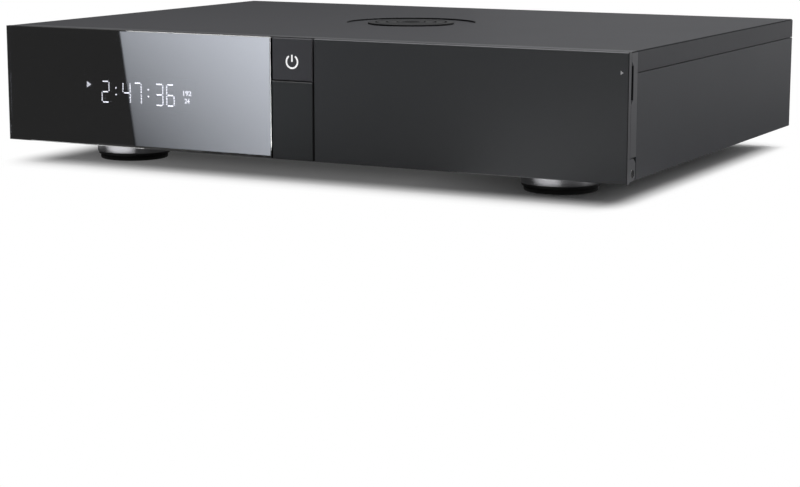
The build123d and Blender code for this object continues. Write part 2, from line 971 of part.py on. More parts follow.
def switch_face_y():
    """Y of the switch plunger's tip: where the pressed stem arrives."""
    return stem_end() + key_travel + spring_end_gap


def key_board_front():
    """Y of the key board's front face."""
    return switch_face_y() + switch_plunger_length + switch_depth


def key_switch():
    """Push switch on the key's board."""
    half = switch_width / 2
    body_y = (switch_face_y() + switch_plunger_length, key_board_front())
    body = block((key_x - half, key_x + half), body_y, (key_z - half, key_z + half))
    return body + rearward(switch_plunger_radius, key_x, (switch_face_y(), body_y[0]), key_z)


def key_board():
    """Small board that carries the switch, on four spacers."""
    y = (key_board_front(), key_board_front() + board_thickness)
    x = (key_x - key_board_width / 2, key_x + key_board_width / 2)
    z = (key_z - key_board_height / 2, key_z + key_board_height / 2)
    return block(x, y, z)


def key_spacers():
    """Spacers from the frame's back to the key's board."""
    x = key_board_width / 2 - key_spacer_inset
    z = key_board_height / 2 - key_spacer_inset
    y = (frame_back, key_board_front())
    posts = [
        rearward(key_spacer_radius, key_x + i * x, y, key_z + j * z)
        for i in (-1, 1)
        for j in (-1, 1)
    ]
    return Compound(children=posts)


# Flap door

def door_panel():
    """Door plate with pockets for the magnets."""
    door = front_panel((door_left, right_x), door_thickness, (plate_low, top_z), panel_chamfer)
    for x, z in magnet_places():
        door -= rearward(magnet_radius, x, (door_back - magnet_thickness, door_back + past), z)
    return door


def hinge_arm(x):
    """Block behind a lower corner of the door, bored for the hinge pin."""
    back = pivot_y + arm_back_reach
    top = pivot_z + arm_top_reach
    points = [
        (door_back, base_z),
        (back - arm_bottom_chamfer, base_z),
        (back, base_z + arm_bottom_chamfer),
        (back, top - arm_top_chamfer),
        (back - arm_top_chamfer, top),
        (door_back, top),
    ]
    bore = sideways(hinge_pin_radius + hinge_running_gap, (x[0] - past, x[1] + past), pivot_y, pivot_z)
    return side_profile(points, x) - bore


def hinge_pin_spans():
    """X range of each hinge pin."""
    left, right = arm_slots()
    inner_left = (left[0] - arm_side_gap - pin_grip, left[1] + arm_side_gap + pin_grip)
    outer_right = (right[0] - arm_side_gap - pin_grip, right[1])
    return [inner_left, outer_right]


def hinge_pins():
    """Two steel pins fixed in the frame."""
    pins = [sideways(hinge_pin_radius, x, pivot_y, pivot_z) for x in hinge_pin_spans()]
    return Compound(children=pins)


def door_magnets():
    """Disc magnets flush with the door's back."""
    y = (door_back - magnet_thickness, door_back)
    return Compound(children=[rearward(magnet_radius, x, y, z) for x, z in magnet_places()])


def catch_plates():
    """Steel discs in the frame, opposite the magnets."""
    y = (frame_front, frame_front + magnet_thickness)
    return Compound(children=[rearward(magnet_radius, x, y, z) for x, z in magnet_places()])


# Drive bay

def drive_cage():
    """Sheet-metal cage round the trays, with feet on the bottom plate."""
    y = (frame_back, cage_back_y)
    top = bay_high + cage_thickness
    outer = block((bay_left - cage_thickness, bay_right + cage_thickness), y, (floor_z, top))
    inner = block((bay_left, bay_right), (y[0] - past, y[1] + past), (floor_z - past, bay_high))
    cage = outer - inner
    foot_y = (frame_back + tab_thickness + hairline_gap, y[1])
    foot_z = (floor_z, floor_z + cage_thickness)
    cage += block((bay_left - cage_thickness - cage_foot_width, bay_left - cage_thickness), foot_y, foot_z)
    cage += block((bay_right + cage_thickness, bay_right + cage_thickness + cage_foot_width), foot_y, foot_z)
    return cage


def tray_low(level):
    """Bottom of the tray's front at one level of the bay."""
    return bay_low + level * tray_pitch + tray_gap


def tray_plate_z(level):
    """Bottom of the tray's plate."""
    return tray_low(level) + tray_plate_rise


def tray_runners():
    """Plastic strips on the cage's sides that the trays slide on."""
    y = (tray_back_of_face + runner_front_gap, backplane_y)
    strips = []
    for level in range(tray_count):
        top = tray_plate_z(level) - runner_gap
        z = (top - runner_height, top)
        strips.append(block((bay_left, bay_left + runner_width), y, z))
        strips.append(block((bay_right - runner_width, bay_right), y, z))
    return Compound(children=strips)


def drive_tray(level):
    """Tray with its front, finger pull and latch slot."""
    low = tray_low(level)
    front_z = (low, low + tray_pitch - 2 * tray_gap)
    middle_z = (front_z[0] + front_z[1]) / 2
    front_x = (bay_left + tray_gap, bay_right - tray_gap)
    tray = block(front_x, (tray_face_y, tray_back_of_face), front_z)
    plate_z = (tray_plate_z(level), tray_plate_z(level) + tray_plate_thickness)
    tray += block(front_x, (tray_back_of_face, drive_back_y), plate_z)
    half = drive_width / 2 + drive_side_gap
    wall_z = (plate_z[1], plate_z[1] + tray_wall_height)
    wall_y = (tray_back_of_face, drive_back_y)
    tray += block((bay_x - half - tray_wall_thickness, bay_x - half), wall_y, wall_z)
    tray += block((bay_x + half, bay_x + half + tray_wall_thickness), wall_y, wall_z)
    pull_x = (bay_x - finger_pull_width / 2, bay_x + finger_pull_width / 2)
    pull_z = (middle_z - finger_pull_height / 2, middle_z + finger_pull_height / 2)
    tray -= block(pull_x, (tray_face_y - past, tray_face_y + finger_pull_depth), pull_z)
    undercut_y = (tray_face_y + finger_pull_depth / 2, tray_face_y + finger_pull_depth)
    tray -= block(pull_x, undercut_y, (pull_z[1], pull_z[1] + finger_pull_undercut))
    slot_x, slot_z = latch_slot(middle_z)
    tray -= block(slot_x, (tray_face_y - past, tray_face_y + latch_depth), slot_z)
    return tray


def latch_slot(middle_z):
    """X and Z ranges of the latch's slot."""
    x = bay_x + latch_offset
    half = latch_width / 2
    slot_x = (x - half - latch_gap - latch_travel, x + half + latch_gap)
    return slot_x, (middle_z - latch_height / 2 - latch_gap, middle_z + latch_height / 2 + latch_gap)


def tray_latch(level):
    """Sliding latch in the tray's front."""
    middle_z = tray_low(level) + tray_pitch / 2 - tray_gap
    x = bay_x + latch_offset
    y = (tray_face_y - latch_proud, tray_face_y + latch_depth - latch_floor_gap)
    z = (middle_z - latch_height / 2, middle_z + latch_height / 2)
    latch = block((x - latch_width / 2, x + latch_width / 2), y, z)
    return chamfer(latch.faces().sort_by(Axis.Y)[0].edges(), latch_proud / 2)


def hard_drive(level):
    """Hard drive with a stepped lid and a round hub mark."""
    z = tray_plate_z(level) + tray_plate_thickness
    x = (bay_x - drive_width / 2, bay_x + drive_width / 2)
    y = (drive_front_y, drive_back_y)
    lid_z = z + drive_height - drive_lid_height
    body = block(x, y, (z, lid_z))
    inset = drive_lid_inset
    lid = block((x[0] + inset, x[1] - inset), (y[0] + inset, y[1] - inset), (lid_z, z + drive_height))
    hub_z = (z + drive_height - drive_hub_depth, z + drive_height + past)
    return body + lid - upright(drive_hub_radius, bay_x, (y[0] + y[1]) / 2, hub_z)


def drive_backplane():
    """Board at the back of the cage with a socket for each drive."""
    x = (bay_left, bay_right)
    z = (bay_low, bay_high)
    pieces = block(x, (backplane_y, backplane_y + board_thickness), z)
    for level in range(tray_count):
        low = tray_plate_z(level) + tray_plate_thickness + drive_socket_rise
        socket_x = (bay_x - drive_socket_width / 2, bay_x + drive_socket_width / 2)
        pieces += block(socket_x, (socket_front_y, backplane_y), (low, low + drive_socket_height))
    return pieces


# Boards

def board_with_holes(x, y):
    """A circuit board with a hole over each stand-off."""
    board = block(x, y, (board_z, board_top))
    for hole_x, hole_y in standoff_places(x, y):
        board -= upright(screw_hole_radius, hole_x, hole_y, (board_z - past, board_top + past))
    return board


def standoff_places(x, y):
    """Stand-off centres at a board's corners."""
    inset = standoff_inset
    return [(px, py) for px in (x[0] + inset, x[1] - inset) for py in (y[0] + inset, y[1] - inset)]


def main_board_span():
    """X and Y ranges of the main board."""
    return (main_left, main_right), (main_front, main_back)


def power_board_span():
    """X and Y ranges of the power supply's board."""
    return (power_left, power_right), (power_front, power_back)


def board_standoffs():
    """Threaded pillars under both boards."""
    places = standoff_places(*main_board_span()) + standoff_places(*power_board_span())
    hole_z = (floor_z + standoff_floor, board_z + past)
    pillars = []
    for x, y in places:
        pillar = upright(standoff_radius, x, y, (floor_z, board_z))
        pillars.append(pillar - upright(screw_thread_radius, x, y, hole_z))
    return Compound(children=pillars)


def processor_centre():
    """Place of the processor on the main board."""
    return main_left + processor_x, main_front + processor_y


def processor():
    """Processor package."""
    x, y = processor_centre()
    half = processor_width / 2
    return block((x - half, x + half), (y - half, y + half), (board_top, board_top + processor_height))


def processor_heatsink():
    """Finned aluminium block on the processor."""
    x, y = processor_centre()
    half = heatsink_width / 2
    low = board_top + processor_height
    sink = block((x - half, x + half), (y - half, y + half), (low, low + heatsink_base))
    pitch = (heatsink_width - heatsink_fin_thickness) / (heatsink_fin_count - 1)
    for index in range(heatsink_fin_count):
        fin_x = x - half + index * pitch
        fin_z = (low + heatsink_base, low + heatsink_base + heatsink_fin_height)
        sink += block((fin_x, fin_x + heatsink_fin_thickness), (y - half, y + half), fin_z)
    return sink


def transformer():
    """Transformer: a wound block between two core cheeks."""
    x = (power_left + power_right) / 2
    y = (power_front + power_back) / 2
    half_x = transformer_width / 2
    half_y = transformer_depth / 2
    inner = half_x - transformer_flange
    z = (board_top, board_top + transformer_height)
    core = block((x - inner, x + inner), (y - half_y, y + half_y), z)
    winding_y = (y - half_y + transformer_flange, y + half_y - transformer_flange)
    winding_z = (z[0] + transformer_flange, z[1] - transformer_flange)
    return core + block((x - half_x, x + half_x), winding_y, winding_z)


def power_capacitors():
    """Filter capacitors in a row."""
    x = power_left + standoff_inset + capacitor_radius + standoff_radius
    y = (power_front + power_back) / 2
    z = (board_top, board_top + capacitor_height)
    cans = [upright(capacitor_radius, x, y + step * capacitor_pitch, z) for step in (-1, 0, 1)]
    return Compound(children=cans)


def display_ribbon():
    """Flat cable from the display's board, under it and back to the main board."""
    start_y = frame_front + display_depth + board_thickness
    module_z = display_board_box()[1]
    start_z = module_z[0] + standoff_height
    low = floor_z + ribbon_rise
    turn_y = start_y + ribbon_run_back
    rise_y = main_front - ribbon_run_back
    end_z = board_top + ribbon_thickness / 2
    x = main_left + ribbon_width
    points = [
        (start_y, start_z),
        (turn_y, start_z),
        (turn_y, low),
        (rise_y, low),
        (rise_y, end_z),
        (main_front + ribbon_overlap, end_z),
    ]
    centre = FilletPolyline(*[(x, y, z) for y, z in points], radius=ribbon_bend)
    section = Plane(origin=centre @ 0, x_dir=(1, 0, 0), z_dir=centre % 0)
    return sweep(section * Rectangle(ribbon_width, ribbon_thickness), path=centre)


# Fan

def fan_housing():
    """Square fan frame with three struts that hold the bearing."""
    half = fan_size / 2
    y = (fan_front, fan_back)
    through = (y[0] - past, y[1] + past)
    housing = block((fan_x - half, fan_x + half), y, (fan_z - half, fan_z + half))
    housing -= rearward(fan_bore_radius, fan_x, through, fan_z)
    strut_y = (fan_front, fan_front + fan_strut_depth)
    strut_reach = fan_bore_radius + fan_strut_root
    for angle in (90, 210, 330):
        strut = block((0, strut_reach), strut_y, (-fan_strut_width / 2, fan_strut_width / 2))
        housing += Pos(fan_x, 0, fan_z) * Rot(0, angle, 0) * strut
    housing += rearward(fan_bearing_radius, fan_x, strut_y, fan_z)
    bearing = fan_shaft_radius + fan_shaft_gap
    housing -= rearward(bearing, fan_x, (strut_y[0] - past, strut_y[1] + past), fan_z)
    for x, z in fan_screw_places():
        housing -= rearward(screw_thread_radius, x, through, z)
    return housing


def fan_rotor():
    """Hub with pitched blades on a shaft."""
    hub_front = fan_front + fan_strut_depth + fan_hub_gap
    hub = rearward(fan_hub_radius, 0, (hub_front, hub_front + fan_hub_depth), 0)
    rim = hub.faces().sort_by(Axis.Y)[-1].edges()
    rotor = chamfer(rim, fan_hub_gap)
    rotor += rearward(fan_shaft_radius, 0, (fan_front, hub_front), 0)
    middle = hub_front + fan_hub_depth / 2
    root = fan_hub_radius - fan_blade_root
    for index in range(fan_blade_count):
        blade = Box(fan_blade_tip - root, fan_blade_chord, fan_blade_thickness,
                    align=(Align.MIN, Align.CENTER, Align.CENTER))
        blade = Pos(root, 0, 0) * Rot(fan_blade_angle, 0, 0) * blade
        rotor += Rot(0, index * 360 / fan_blade_count, 0) * (Pos(0, middle, 0) * blade)
    envelope = rearward(fan_blade_tip, 0, (fan_front - past, fan_back + past), 0)
    return Pos(fan_x, 0, fan_z) * (rotor & envelope)


def fan_guard():
    """Finger guard of flat rings and diagonal spokes."""
    y = (rear_y, rear_y + guard_thickness)
    through = (y[0] - past, y[1] + past)
    guard = rearward(guard_rim_radius, 0, y, 0) - rearward(guard_rim_radius - guard_rim_width, 0, through, 0)
    for index in range(guard_ring_count):
        radius = guard_ring_pitch * (index + 1)
        ring = rearward(radius, 0, y, 0) - rearward(radius - guard_ring_width, 0, through, 0)
        guard += ring
    corner = fan_screw_spacing / 2
    length = corner * math.sqrt(2)
    for angle in (45, 135, 225, 315):
        spoke = block((0, length), y, (-guard_spoke_width / 2, guard_spoke_width / 2))
        guard += Rot(0, angle, 0) * spoke
    for i in (-1, 1):
        for j in (-1, 1):
            guard += rearward(guard_ear_radius, i * corner, y, j * corner)
    for i in (-1, 1):
        for j in (-1, 1):
            guard -= rearward(screw_hole_radius, i * corner, through, j * corner)
    return Pos(fan_x, 0, fan_z) * guard


# Rear sockets

def socket_span(x, width, height, depth):
    """X, Y and Z ranges of a socket on the main board that looks out of the rear panel."""
    mouth_y = rear_y + socket_proud
    return (x, x + width), (mouth_y - depth, mouth_y), (board_top, board_top + height)


def network_span():
    """Ranges of the network socket."""
    return socket_span(network_left, network_width, network_height, network_depth)


def usb_span():
    """Ranges of the double USB socket."""
    return socket_span(usb_left, usb_width, usb_height, usb_depth)


def hdmi_spans():
    """Ranges of the HDMI sockets."""
    starts = [hdmi_left + index * hdmi_pitch for index in range(hdmi_count)]
    return [socket_span(start, hdmi_width, hdmi_height, hdmi_depth) for start in starts]


def optical_span():
    """Ranges of the optical socket."""
    return socket_span(optical_left, optical_width, optical_height, optical_depth)


def socket_cutouts():
    """X and Z ranges of the rectangular holes in the rear panel."""
    gap = cutout_gap
    spans = [network_span(), usb_span(), optical_span()] + hdmi_spans()
    holes = [((x[0] - gap, x[1] + gap), (z[0] - gap, z[1] + gap)) for x, y, z in spans]
    half_x = inlet_body_width / 2 + gap
    half_z = inlet_body_height / 2 + gap
    holes.append(((inlet_x - half_x, inlet_x + half_x), (inlet_z - half_z, inlet_z + half_z)))
    half_x = rocker_frame_width / 2 - rocker_frame_wall / 2 + gap
    half_z = rocker_frame_height / 2 - rocker_frame_wall / 2 + gap
    holes.append(((rocker_x - half_x, rocker_x + half_x), (rocker_z - half_z, rocker_z + half_z)))
    return holes


def network_socket():
    """Network socket with a contact comb along the top of its cavity."""
    x, y, z = network_span()
    shell = block(x, y, z)
    middle = (x[0] + x[1]) / 2
    half = network_cavity_width / 2
    cavity_z = (z[0] + network_cavity_rise, z[0] + network_cavity_rise + network_cavity_height)
    cavity_y = (y[1] - network_cavity_depth, y[1] + past)
    shell -= block((middle - half, middle + half), cavity_y, cavity_z)
    key_half = network_key_width / 2
    key_z_span = (cavity_z[0] - network_key_height, cavity_z[0])
    shell -= block((middle - key_half, middle + key_half), cavity_y, key_z_span)
    contact_y = (cavity_y[0], y[1] - network_contact_setback)
    contact_z = (cavity_z[1] - network_contact_height, cavity_z[1])
    thick = network_contact_width / 2
    for index in range(network_contact_count):
        contact_x = middle + (index - (network_contact_count - 1) / 2) * network_contact_pitch
        shell += block((contact_x - thick, contact_x + thick), contact_y, contact_z)
    return shell


def usb_sockets():
    """Two stacked USB sockets in one shell."""
    x, y, z = usb_span()
    shell = block(x, y, z)
    middle = (x[0] + x[1]) / 2
    half = usb_slot_width / 2
    for index in range(2):
        low = z[0] + usb_first_slot_rise + index * usb_slot_pitch
        slot_y = (y[1] - usb_slot_depth, y[1] + past)
        shell -= block((middle - half, middle + half), slot_y, (low, low + usb_slot_height))
        tongue_x = (middle - half + usb_tongue_gap, middle + half - usb_tongue_gap)
        tongue_z = (low + usb_slot_height - usb_tongue_gap - usb_tongue_thickness,
                    low + usb_slot_height - usb_tongue_gap)
        shell += block(tongue_x, (slot_y[0], y[1] - usb_tongue_gap), tongue_z)
    return shell


def hdmi_sockets():
    """HDMI sockets with chamfered lower corners."""
    sockets = []
    for x, y, z in hdmi_spans():
        middle = (x[0] + x[1]) / 2
        half = hdmi_slot_width / 2
        low = (z[0] + z[1] - hdmi_slot_height) / 2
        high = low + hdmi_slot_height
        cut = hdmi_slot_chamfer
        points = [
            (middle - half + cut, low),
            (middle + half - cut, low),
            (middle + half, low + cut),
            (middle + half, high),
            (middle - half, high),
            (middle - half, low + cut),
        ]
        slot = rear_profile(points, (y[1] - hdmi_slot_depth, y[1] + past))
        tongue_half = hdmi_tongue_width / 2
        centre = (low + high) / 2
        tongue_z = (centre - hdmi_tongue_thickness / 2, centre + hdmi_tongue_thickness / 2)
        tongue_y = (y[1] - hdmi_slot_depth, y[1] - hdmi_tongue_setback)
        tongue = block((middle - tongue_half, middle + tongue_half), tongue_y, tongue_z)
        sockets.append(block(x, y, z) - slot + tongue)
    return Compound(children=sockets)


def optical_socket():
    """Optical socket, shut by its flap."""
    x, y, z = optical_span()
    edge = optical_frame
    recess_y = (y[1] - optical_flap_depth, y[1] + past)
    recess = block((x[0] + edge, x[1] - edge), recess_y, (z[0] + edge, z[1] - edge))
    return block(x, y, z) - recess


def line_centres():
    """Centres of the line output barrels."""
    x = line_left + line_body_width / 2
    z = board_top + line_body_height / 2
    return [(x + index * line_pitch, z) for index in range(line_count)]


def line_sockets():
    """Round line outputs: a body on the board and a barrel through the panel."""
    sockets = []
    for x, z in line_centres():
        half = line_body_width / 2
        body_y = (panel_inner_y - line_body_depth, panel_inner_y)
        body = block((x - half, x + half), body_y, (board_top, board_top + line_body_height))
        barrel_end = rear_y + line_barrel_length
        socket = body + rearward(line_barrel_radius, x, (panel_inner_y, barrel_end), z)
        socket -= rearward(line_bore_radius, x, (barrel_end - line_bore_depth, barrel_end + past), z)
        sockets.append(socket)
    return Compound(children=sockets)


def antenna_centres():
    """Centres of the antenna posts."""
    z = top_z - antenna_from_top
    offset = antenna_from_board_edge
    return [(main_left + offset, z), (main_right + offset, z)]


def antenna_posts():
    """Threaded antenna posts with their nuts on the rear panel."""
    posts = []
    for x, z in antenna_centres():
        post = rearward(antenna_radius, x, (panel_inner_y - antenna_tail, rear_y + antenna_reach), z)
        nut_y = (rear_y, rear_y + antenna_nut_thickness)
        nut = extrude(RegularPolygon(antenna_nut_radius, 6), amount=antenna_nut_thickness)
        post += Pos(x, nut_y[0], z) * Rot(-90, 0, 0) * nut
        shoulder_y = (panel_inner_y - antenna_nut_thickness, panel_inner_y)
        post += rearward(antenna_nut_radius, x, shoulder_y, z)
        bore_y = (rear_y + antenna_reach - antenna_bore_depth, rear_y + antenna_reach + past)
        posts.append(post - rearward(antenna_bore_radius, x, bore_y, z))
    return Compound(children=posts)


# Mains inlet and switch

def power_inlet():
    """Mains inlet with three flat pins."""
    flange_end = rear_y + inlet_flange_thickness
    half_x = inlet_flange_width / 2
    half_z = inlet_flange_height / 2
    flange_z = (inlet_z - half_z, inlet_z + half_z)
    flange = block((inlet_x - half_x, inlet_x + half_x), (rear_y, flange_end), flange_z)
    half_x = inlet_body_width / 2
    half_z = inlet_body_height / 2
    body_y = (flange_end - inlet_body_depth, rear_y)
    body_z = (inlet_z - half_z, inlet_z + half_z)
    inlet = flange + block((inlet_x - half_x, inlet_x + half_x), body_y, body_z)
    half_x = inlet_cavity_width / 2
    half_z = inlet_cavity_height / 2
    cut = inlet_cavity_chamfer
    points = [
        (inlet_x - half_x, inlet_z - half_z),
        (inlet_x + half_x, inlet_z - half_z),
        (inlet_x + half_x, inlet_z + half_z - cut),
        (inlet_x + half_x - cut, inlet_z + half_z),
        (inlet_x - half_x + cut, inlet_z + half_z),
        (inlet_x - half_x, inlet_z + half_z - cut),
    ]
    cavity_floor = flange_end - inlet_cavity_depth
    inlet -= rear_profile(points, (cavity_floor, flange_end + past))
    for step, rise in ((-1, -inlet_pin_offset), (0, inlet_pin_offset), (1, -inlet_pin_offset)):
        x = inlet_x + step * inlet_pin_spacing
        z = inlet_z + rise
        pin_x = (x - inlet_pin_width / 2, x + inlet_pin_width / 2)
        pin_z = (z - inlet_pin_height / 2, z + inlet_pin_height / 2)
        inlet += block(pin_x, (cavity_floor, cavity_floor + inlet_pin_length), pin_z)
    for x, z in inlet_screw_places():
        inlet -= rearward(screw_hole_radius, x, (rear_y - past, flange_end + past), z)
    return inlet


def switch_housing():
    """Frame and box of the rocker switch."""
    half_x = rocker_frame_width / 2
    half_z = rocker_frame_height / 2
    bezel_end = rear_y + rocker_frame_thickness
    bezel_z = (rocker_z - half_z, rocker_z + half_z)
    bezel = block((rocker_x - half_x, rocker_x + half_x), (rear_y, bezel_end), bezel_z)
    half_x -= rocker_frame_wall / 2
    half_z -= rocker_frame_wall / 2
    box_y = (bezel_end - rocker_box_depth, rear_y)
    box_z = (rocker_z - half_z, rocker_z + half_z)
    housing = bezel + block((rocker_x - half_x, rocker_x + half_x), box_y, box_z)
    hollow_x = rocker_width / 2 + rocker_swing_gap
    hollow_z = rocker_swing_radius + rocker_swing_gap
    floor_y = rocker_pivot_y - rocker_back - rocker_swing_gap - rocker_swing_radius * math.sin(
        math.radians(rocker_tilt)
    )
    housing -= block((rocker_x - hollow_x, rocker_x + hollow_x), (floor_y, bezel_end + past),
                     (rocker_z - hollow_z, rocker_z + hollow_z))
    reach = rocker_width / 2 + rocker_pin_length + rocker_swing_gap
    housing -= sideways(rocker_pin_radius + rocker_pin_gap, (rocker_x - reach, rocker_x + reach),
                        rocker_pivot_y, rocker_z)
    return housing


def switch_rocker():
    """Rocker with a shallow V face, on two stub pins, its top pressed in."""
    radius = rocker_swing_radius
    front = rocker_front
    points = [
        (-rocker_back, -radius),
        (front + rocker_rise_at_end, -radius),
        (front, 0),
        (front + rocker_rise_at_end, radius),
        (-rocker_back, radius),
    ]
    half = rocker_width / 2
    rocker = side_profile(points, (-half, half)) & sideways(radius, (-half, half), 0, 0)
    reach = half + rocker_pin_length
    rocker += sideways(rocker_pin_radius, (-reach, reach), 0, 0)
    return Pos(rocker_x, rocker_pivot_y, rocker_z) * Rot(rocker_tilt, 0, 0) * rocker


# Feet

def foot_caps():
    """Turned aluminium feet with a dark lip, a seat for the screw and a groove for the pad."""
    caps = []
    low = base_z - foot_cap_height
    for x, y in FEET:
        cap = upright(foot_radius, x, y, (low + foot_lip_height, base_z))
        cap = chamfer(cap.edges().filter_by(GeomType.CIRCLE), foot_edge_chamfer)
        cap += upright(foot_radius - foot_lip_inset, x, y, (low, low + foot_lip_height))
        cap -= upright(foot_pad_radius, x, y, (low - past, low + foot_groove_depth))
        cap -= upright(foot_screw_radius, x, y, (low - past, base_z + past))
        cap -= upright(foot_screw_head_radius + cutout_gap, x, y, (low - past, low + foot_screw_seat_depth))
        caps.append(cap)
    return Compound(children=caps)


def foot_pads():
    """Rubber rings under the feet."""
    pads = []
    top = base_z - foot_cap_height + foot_groove_depth
    for x, y in FEET:
        pad = upright(foot_pad_radius, x, y, (0, top)) - upright(foot_pad_bore, x, y, (-1, top + past))
        pads.append(chamfer(pad.faces().sort_by(Axis.Z)[0].edges(), foot_edge_chamfer))
    return Compound(children=pads)


def foot_screws():
    """Screws through the feet into the bottom plate."""
    screws = []
    seat = base_z - foot_cap_height + foot_screw_seat_depth
    for x, y in FEET:
        shank = upright(foot_screw_radius, x, y, (seat, floor_z + foot_screw_end))
        head = upright(foot_screw_head_radius, x, y, (seat - foot_screw_head_height, seat))
        screws.append(shank + head)
    return Compound(children=screws)


PIECES = {
    "top_cover": top_cover,
    "top_disc": top_disc,
    "chassis_tray": chassis_tray,
    "cover_rails": cover_rails,
    "rear_panel": rear_panel,
    "rear_screws": rear_screws,
    "front_frame": front_frame,
    "frame_screws": frame_screws,
    "display_window": display_window,
    "window_backplate": window_backplate,
    "display_module": display_module,
    "display_board": display_board,
    "display_digits": display_digits,
    "display_ribbon": display_ribbon,
    "filler_plate": filler_plate,
    "power_key": power_key,
    "power_symbol": power_symbol,
    "key_retainer": key_retainer,
    "key_spring": key_spring,
    "key_switch": key_switch,
    "key_board": key_board,
    "key_spacers": key_spacers,
    "door_panel": door_panel,
    "hinge_arm_left": lambda: hinge_arm(arm_slots()[0]),
    "hinge_arm_right": lambda: hinge_arm(arm_slots()[1]),
    "hinge_pins": hinge_pins,
    "door_magnets": door_magnets,
    "catch_plates": catch_plates,
    "drive_cage": drive_cage,
    "tray_runners": tray_runners,
    "drive_tray_lower": lambda: drive_tray(0),
    "drive_tray_upper": lambda: drive_tray(1),
    "tray_latch_lower": lambda: tray_latch(0),
    "tray_latch_upper": lambda: tray_latch(1),
    "hard_drive_lower": lambda: hard_drive(0),
    "hard_drive_upper": lambda: hard_drive(1),
    "drive_backplane": drive_backplane,
    "main_board": lambda: board_with_holes(*main_board_span()),
    "power_board": lambda: board_with_holes(*power_board_span()),
    "board_standoffs": board_standoffs,
    "processor": processor,
    "processor_heatsink": processor_heatsink,
    "transformer": transformer,
    "power_capacitors": power_capacitors,
    "fan_housing": fan_housing,
    "fan_rotor": fan_rotor,
    "fan_guard": fan_guard,
    "network_socket": network_socket,
    "usb_sockets": usb_sockets,
    "hdmi_sockets": hdmi_sockets,
    "optical_socket": optical_socket,
    "line_sockets": line_sockets,
    "antenna_posts": antenna_posts,
    "power_inlet": power_inlet,
    "switch_housing": switch_housing,
    "switch_rocker": switch_rocker,
    "foot_caps": foot_caps,
    "foot_pads": foot_pads,
    "foot_screws": foot_screws,
}

os.makedirs("parts", exist_ok=True)
for name, build in PIECES.items():
    export_step(build(), f"parts/{name}.step")
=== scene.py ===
# %% [markdown]
# # A low, full-width media player
#
# The construction model already holds every piece at its real size. This lesson dresses it: it
# softens edges, turns the feet and the top disc, lays the lit bars behind the glass, and gives each
# piece the finish that its real material has. We start by loading the model as a fixed frame. Nothing
# in it is moved or resized, so a new piece only has to read its place from the frame.

# %% Load the frame
import json
import math

import bmesh
import bpy
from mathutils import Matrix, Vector

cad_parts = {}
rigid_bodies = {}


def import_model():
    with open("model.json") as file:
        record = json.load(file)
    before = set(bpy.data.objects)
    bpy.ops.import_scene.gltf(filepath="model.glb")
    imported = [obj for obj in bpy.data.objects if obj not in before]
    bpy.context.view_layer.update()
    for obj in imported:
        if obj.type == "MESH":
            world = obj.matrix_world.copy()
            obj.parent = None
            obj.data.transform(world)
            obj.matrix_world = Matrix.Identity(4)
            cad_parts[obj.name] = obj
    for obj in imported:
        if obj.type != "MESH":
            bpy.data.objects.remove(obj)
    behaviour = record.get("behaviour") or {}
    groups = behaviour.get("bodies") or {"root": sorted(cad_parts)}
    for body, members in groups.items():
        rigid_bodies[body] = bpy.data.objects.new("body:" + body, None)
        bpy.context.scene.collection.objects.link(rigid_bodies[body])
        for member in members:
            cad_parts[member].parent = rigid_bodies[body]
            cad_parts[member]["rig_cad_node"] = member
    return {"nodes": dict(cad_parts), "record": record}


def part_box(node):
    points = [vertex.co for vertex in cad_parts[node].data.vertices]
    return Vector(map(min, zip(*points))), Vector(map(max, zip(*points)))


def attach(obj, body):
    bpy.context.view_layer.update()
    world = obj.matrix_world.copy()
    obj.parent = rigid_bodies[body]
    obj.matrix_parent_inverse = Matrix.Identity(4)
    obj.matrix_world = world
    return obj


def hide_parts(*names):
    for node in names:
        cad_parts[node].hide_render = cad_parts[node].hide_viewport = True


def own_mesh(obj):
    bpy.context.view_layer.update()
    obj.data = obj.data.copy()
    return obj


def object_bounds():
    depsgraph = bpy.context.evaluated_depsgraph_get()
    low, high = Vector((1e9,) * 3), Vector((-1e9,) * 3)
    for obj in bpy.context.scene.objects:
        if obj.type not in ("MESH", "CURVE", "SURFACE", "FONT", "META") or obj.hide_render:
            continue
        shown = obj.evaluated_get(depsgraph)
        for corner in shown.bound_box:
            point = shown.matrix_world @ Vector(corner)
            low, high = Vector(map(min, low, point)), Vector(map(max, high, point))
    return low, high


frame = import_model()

cad_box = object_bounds()
case_left, case_right, case_top = cad_box[0][0], cad_box[1][0], cad_box[1][2]

# %% [markdown]
# ## Working habits
#
# Edit-mode operators act on everything that is selected. Loading leaves the whole model selected, so
# each helper starts by selecting nothing. Faces and edges are then picked by a test on their place or
# direction, which keeps working when a size changes.

# %% Selection helpers
MM = 0.001
quarter_turn = math.radians(90)
merge_distance = 0.01 * MM


def deselect():
    """Select nothing, in object mode."""
    if bpy.context.object and bpy.context.object.mode != "OBJECT":
        bpy.ops.object.mode_set(mode="OBJECT")
    bpy.ops.object.select_all(action="DESELECT")


def activate(piece):
    """Make one piece the active and only selected one."""
    deselect()
    piece.select_set(True)
    bpy.context.view_layer.objects.active = piece


def edit(piece, mode="EDGE"):
    """Enter edit mode on a piece with nothing picked."""
    activate(piece)
    bpy.ops.object.mode_set(mode="EDIT")
    bpy.ops.mesh.select_mode(type=mode)
    bpy.ops.mesh.select_all(action="DESELECT")


def leave_edit(piece):
    """Merge doubles, point the faces outwards and return to object mode."""
    bpy.ops.mesh.select_all(action="SELECT")
    bpy.ops.mesh.remove_doubles(threshold=merge_distance)
    bpy.ops.mesh.normals_make_consistent(inside=False)
    bpy.ops.object.mode_set(mode="OBJECT")
    piece.select_set(False)


def named(name):
    """The piece that was just added, under its name."""
    piece = bpy.context.object
    piece.name = name
    return piece


def apply_place():
    """Write the selected piece's place, turn and scale into its mesh."""
    bpy.ops.object.transform_apply(location=True, rotation=True, scale=True)


print("selection helpers ready")

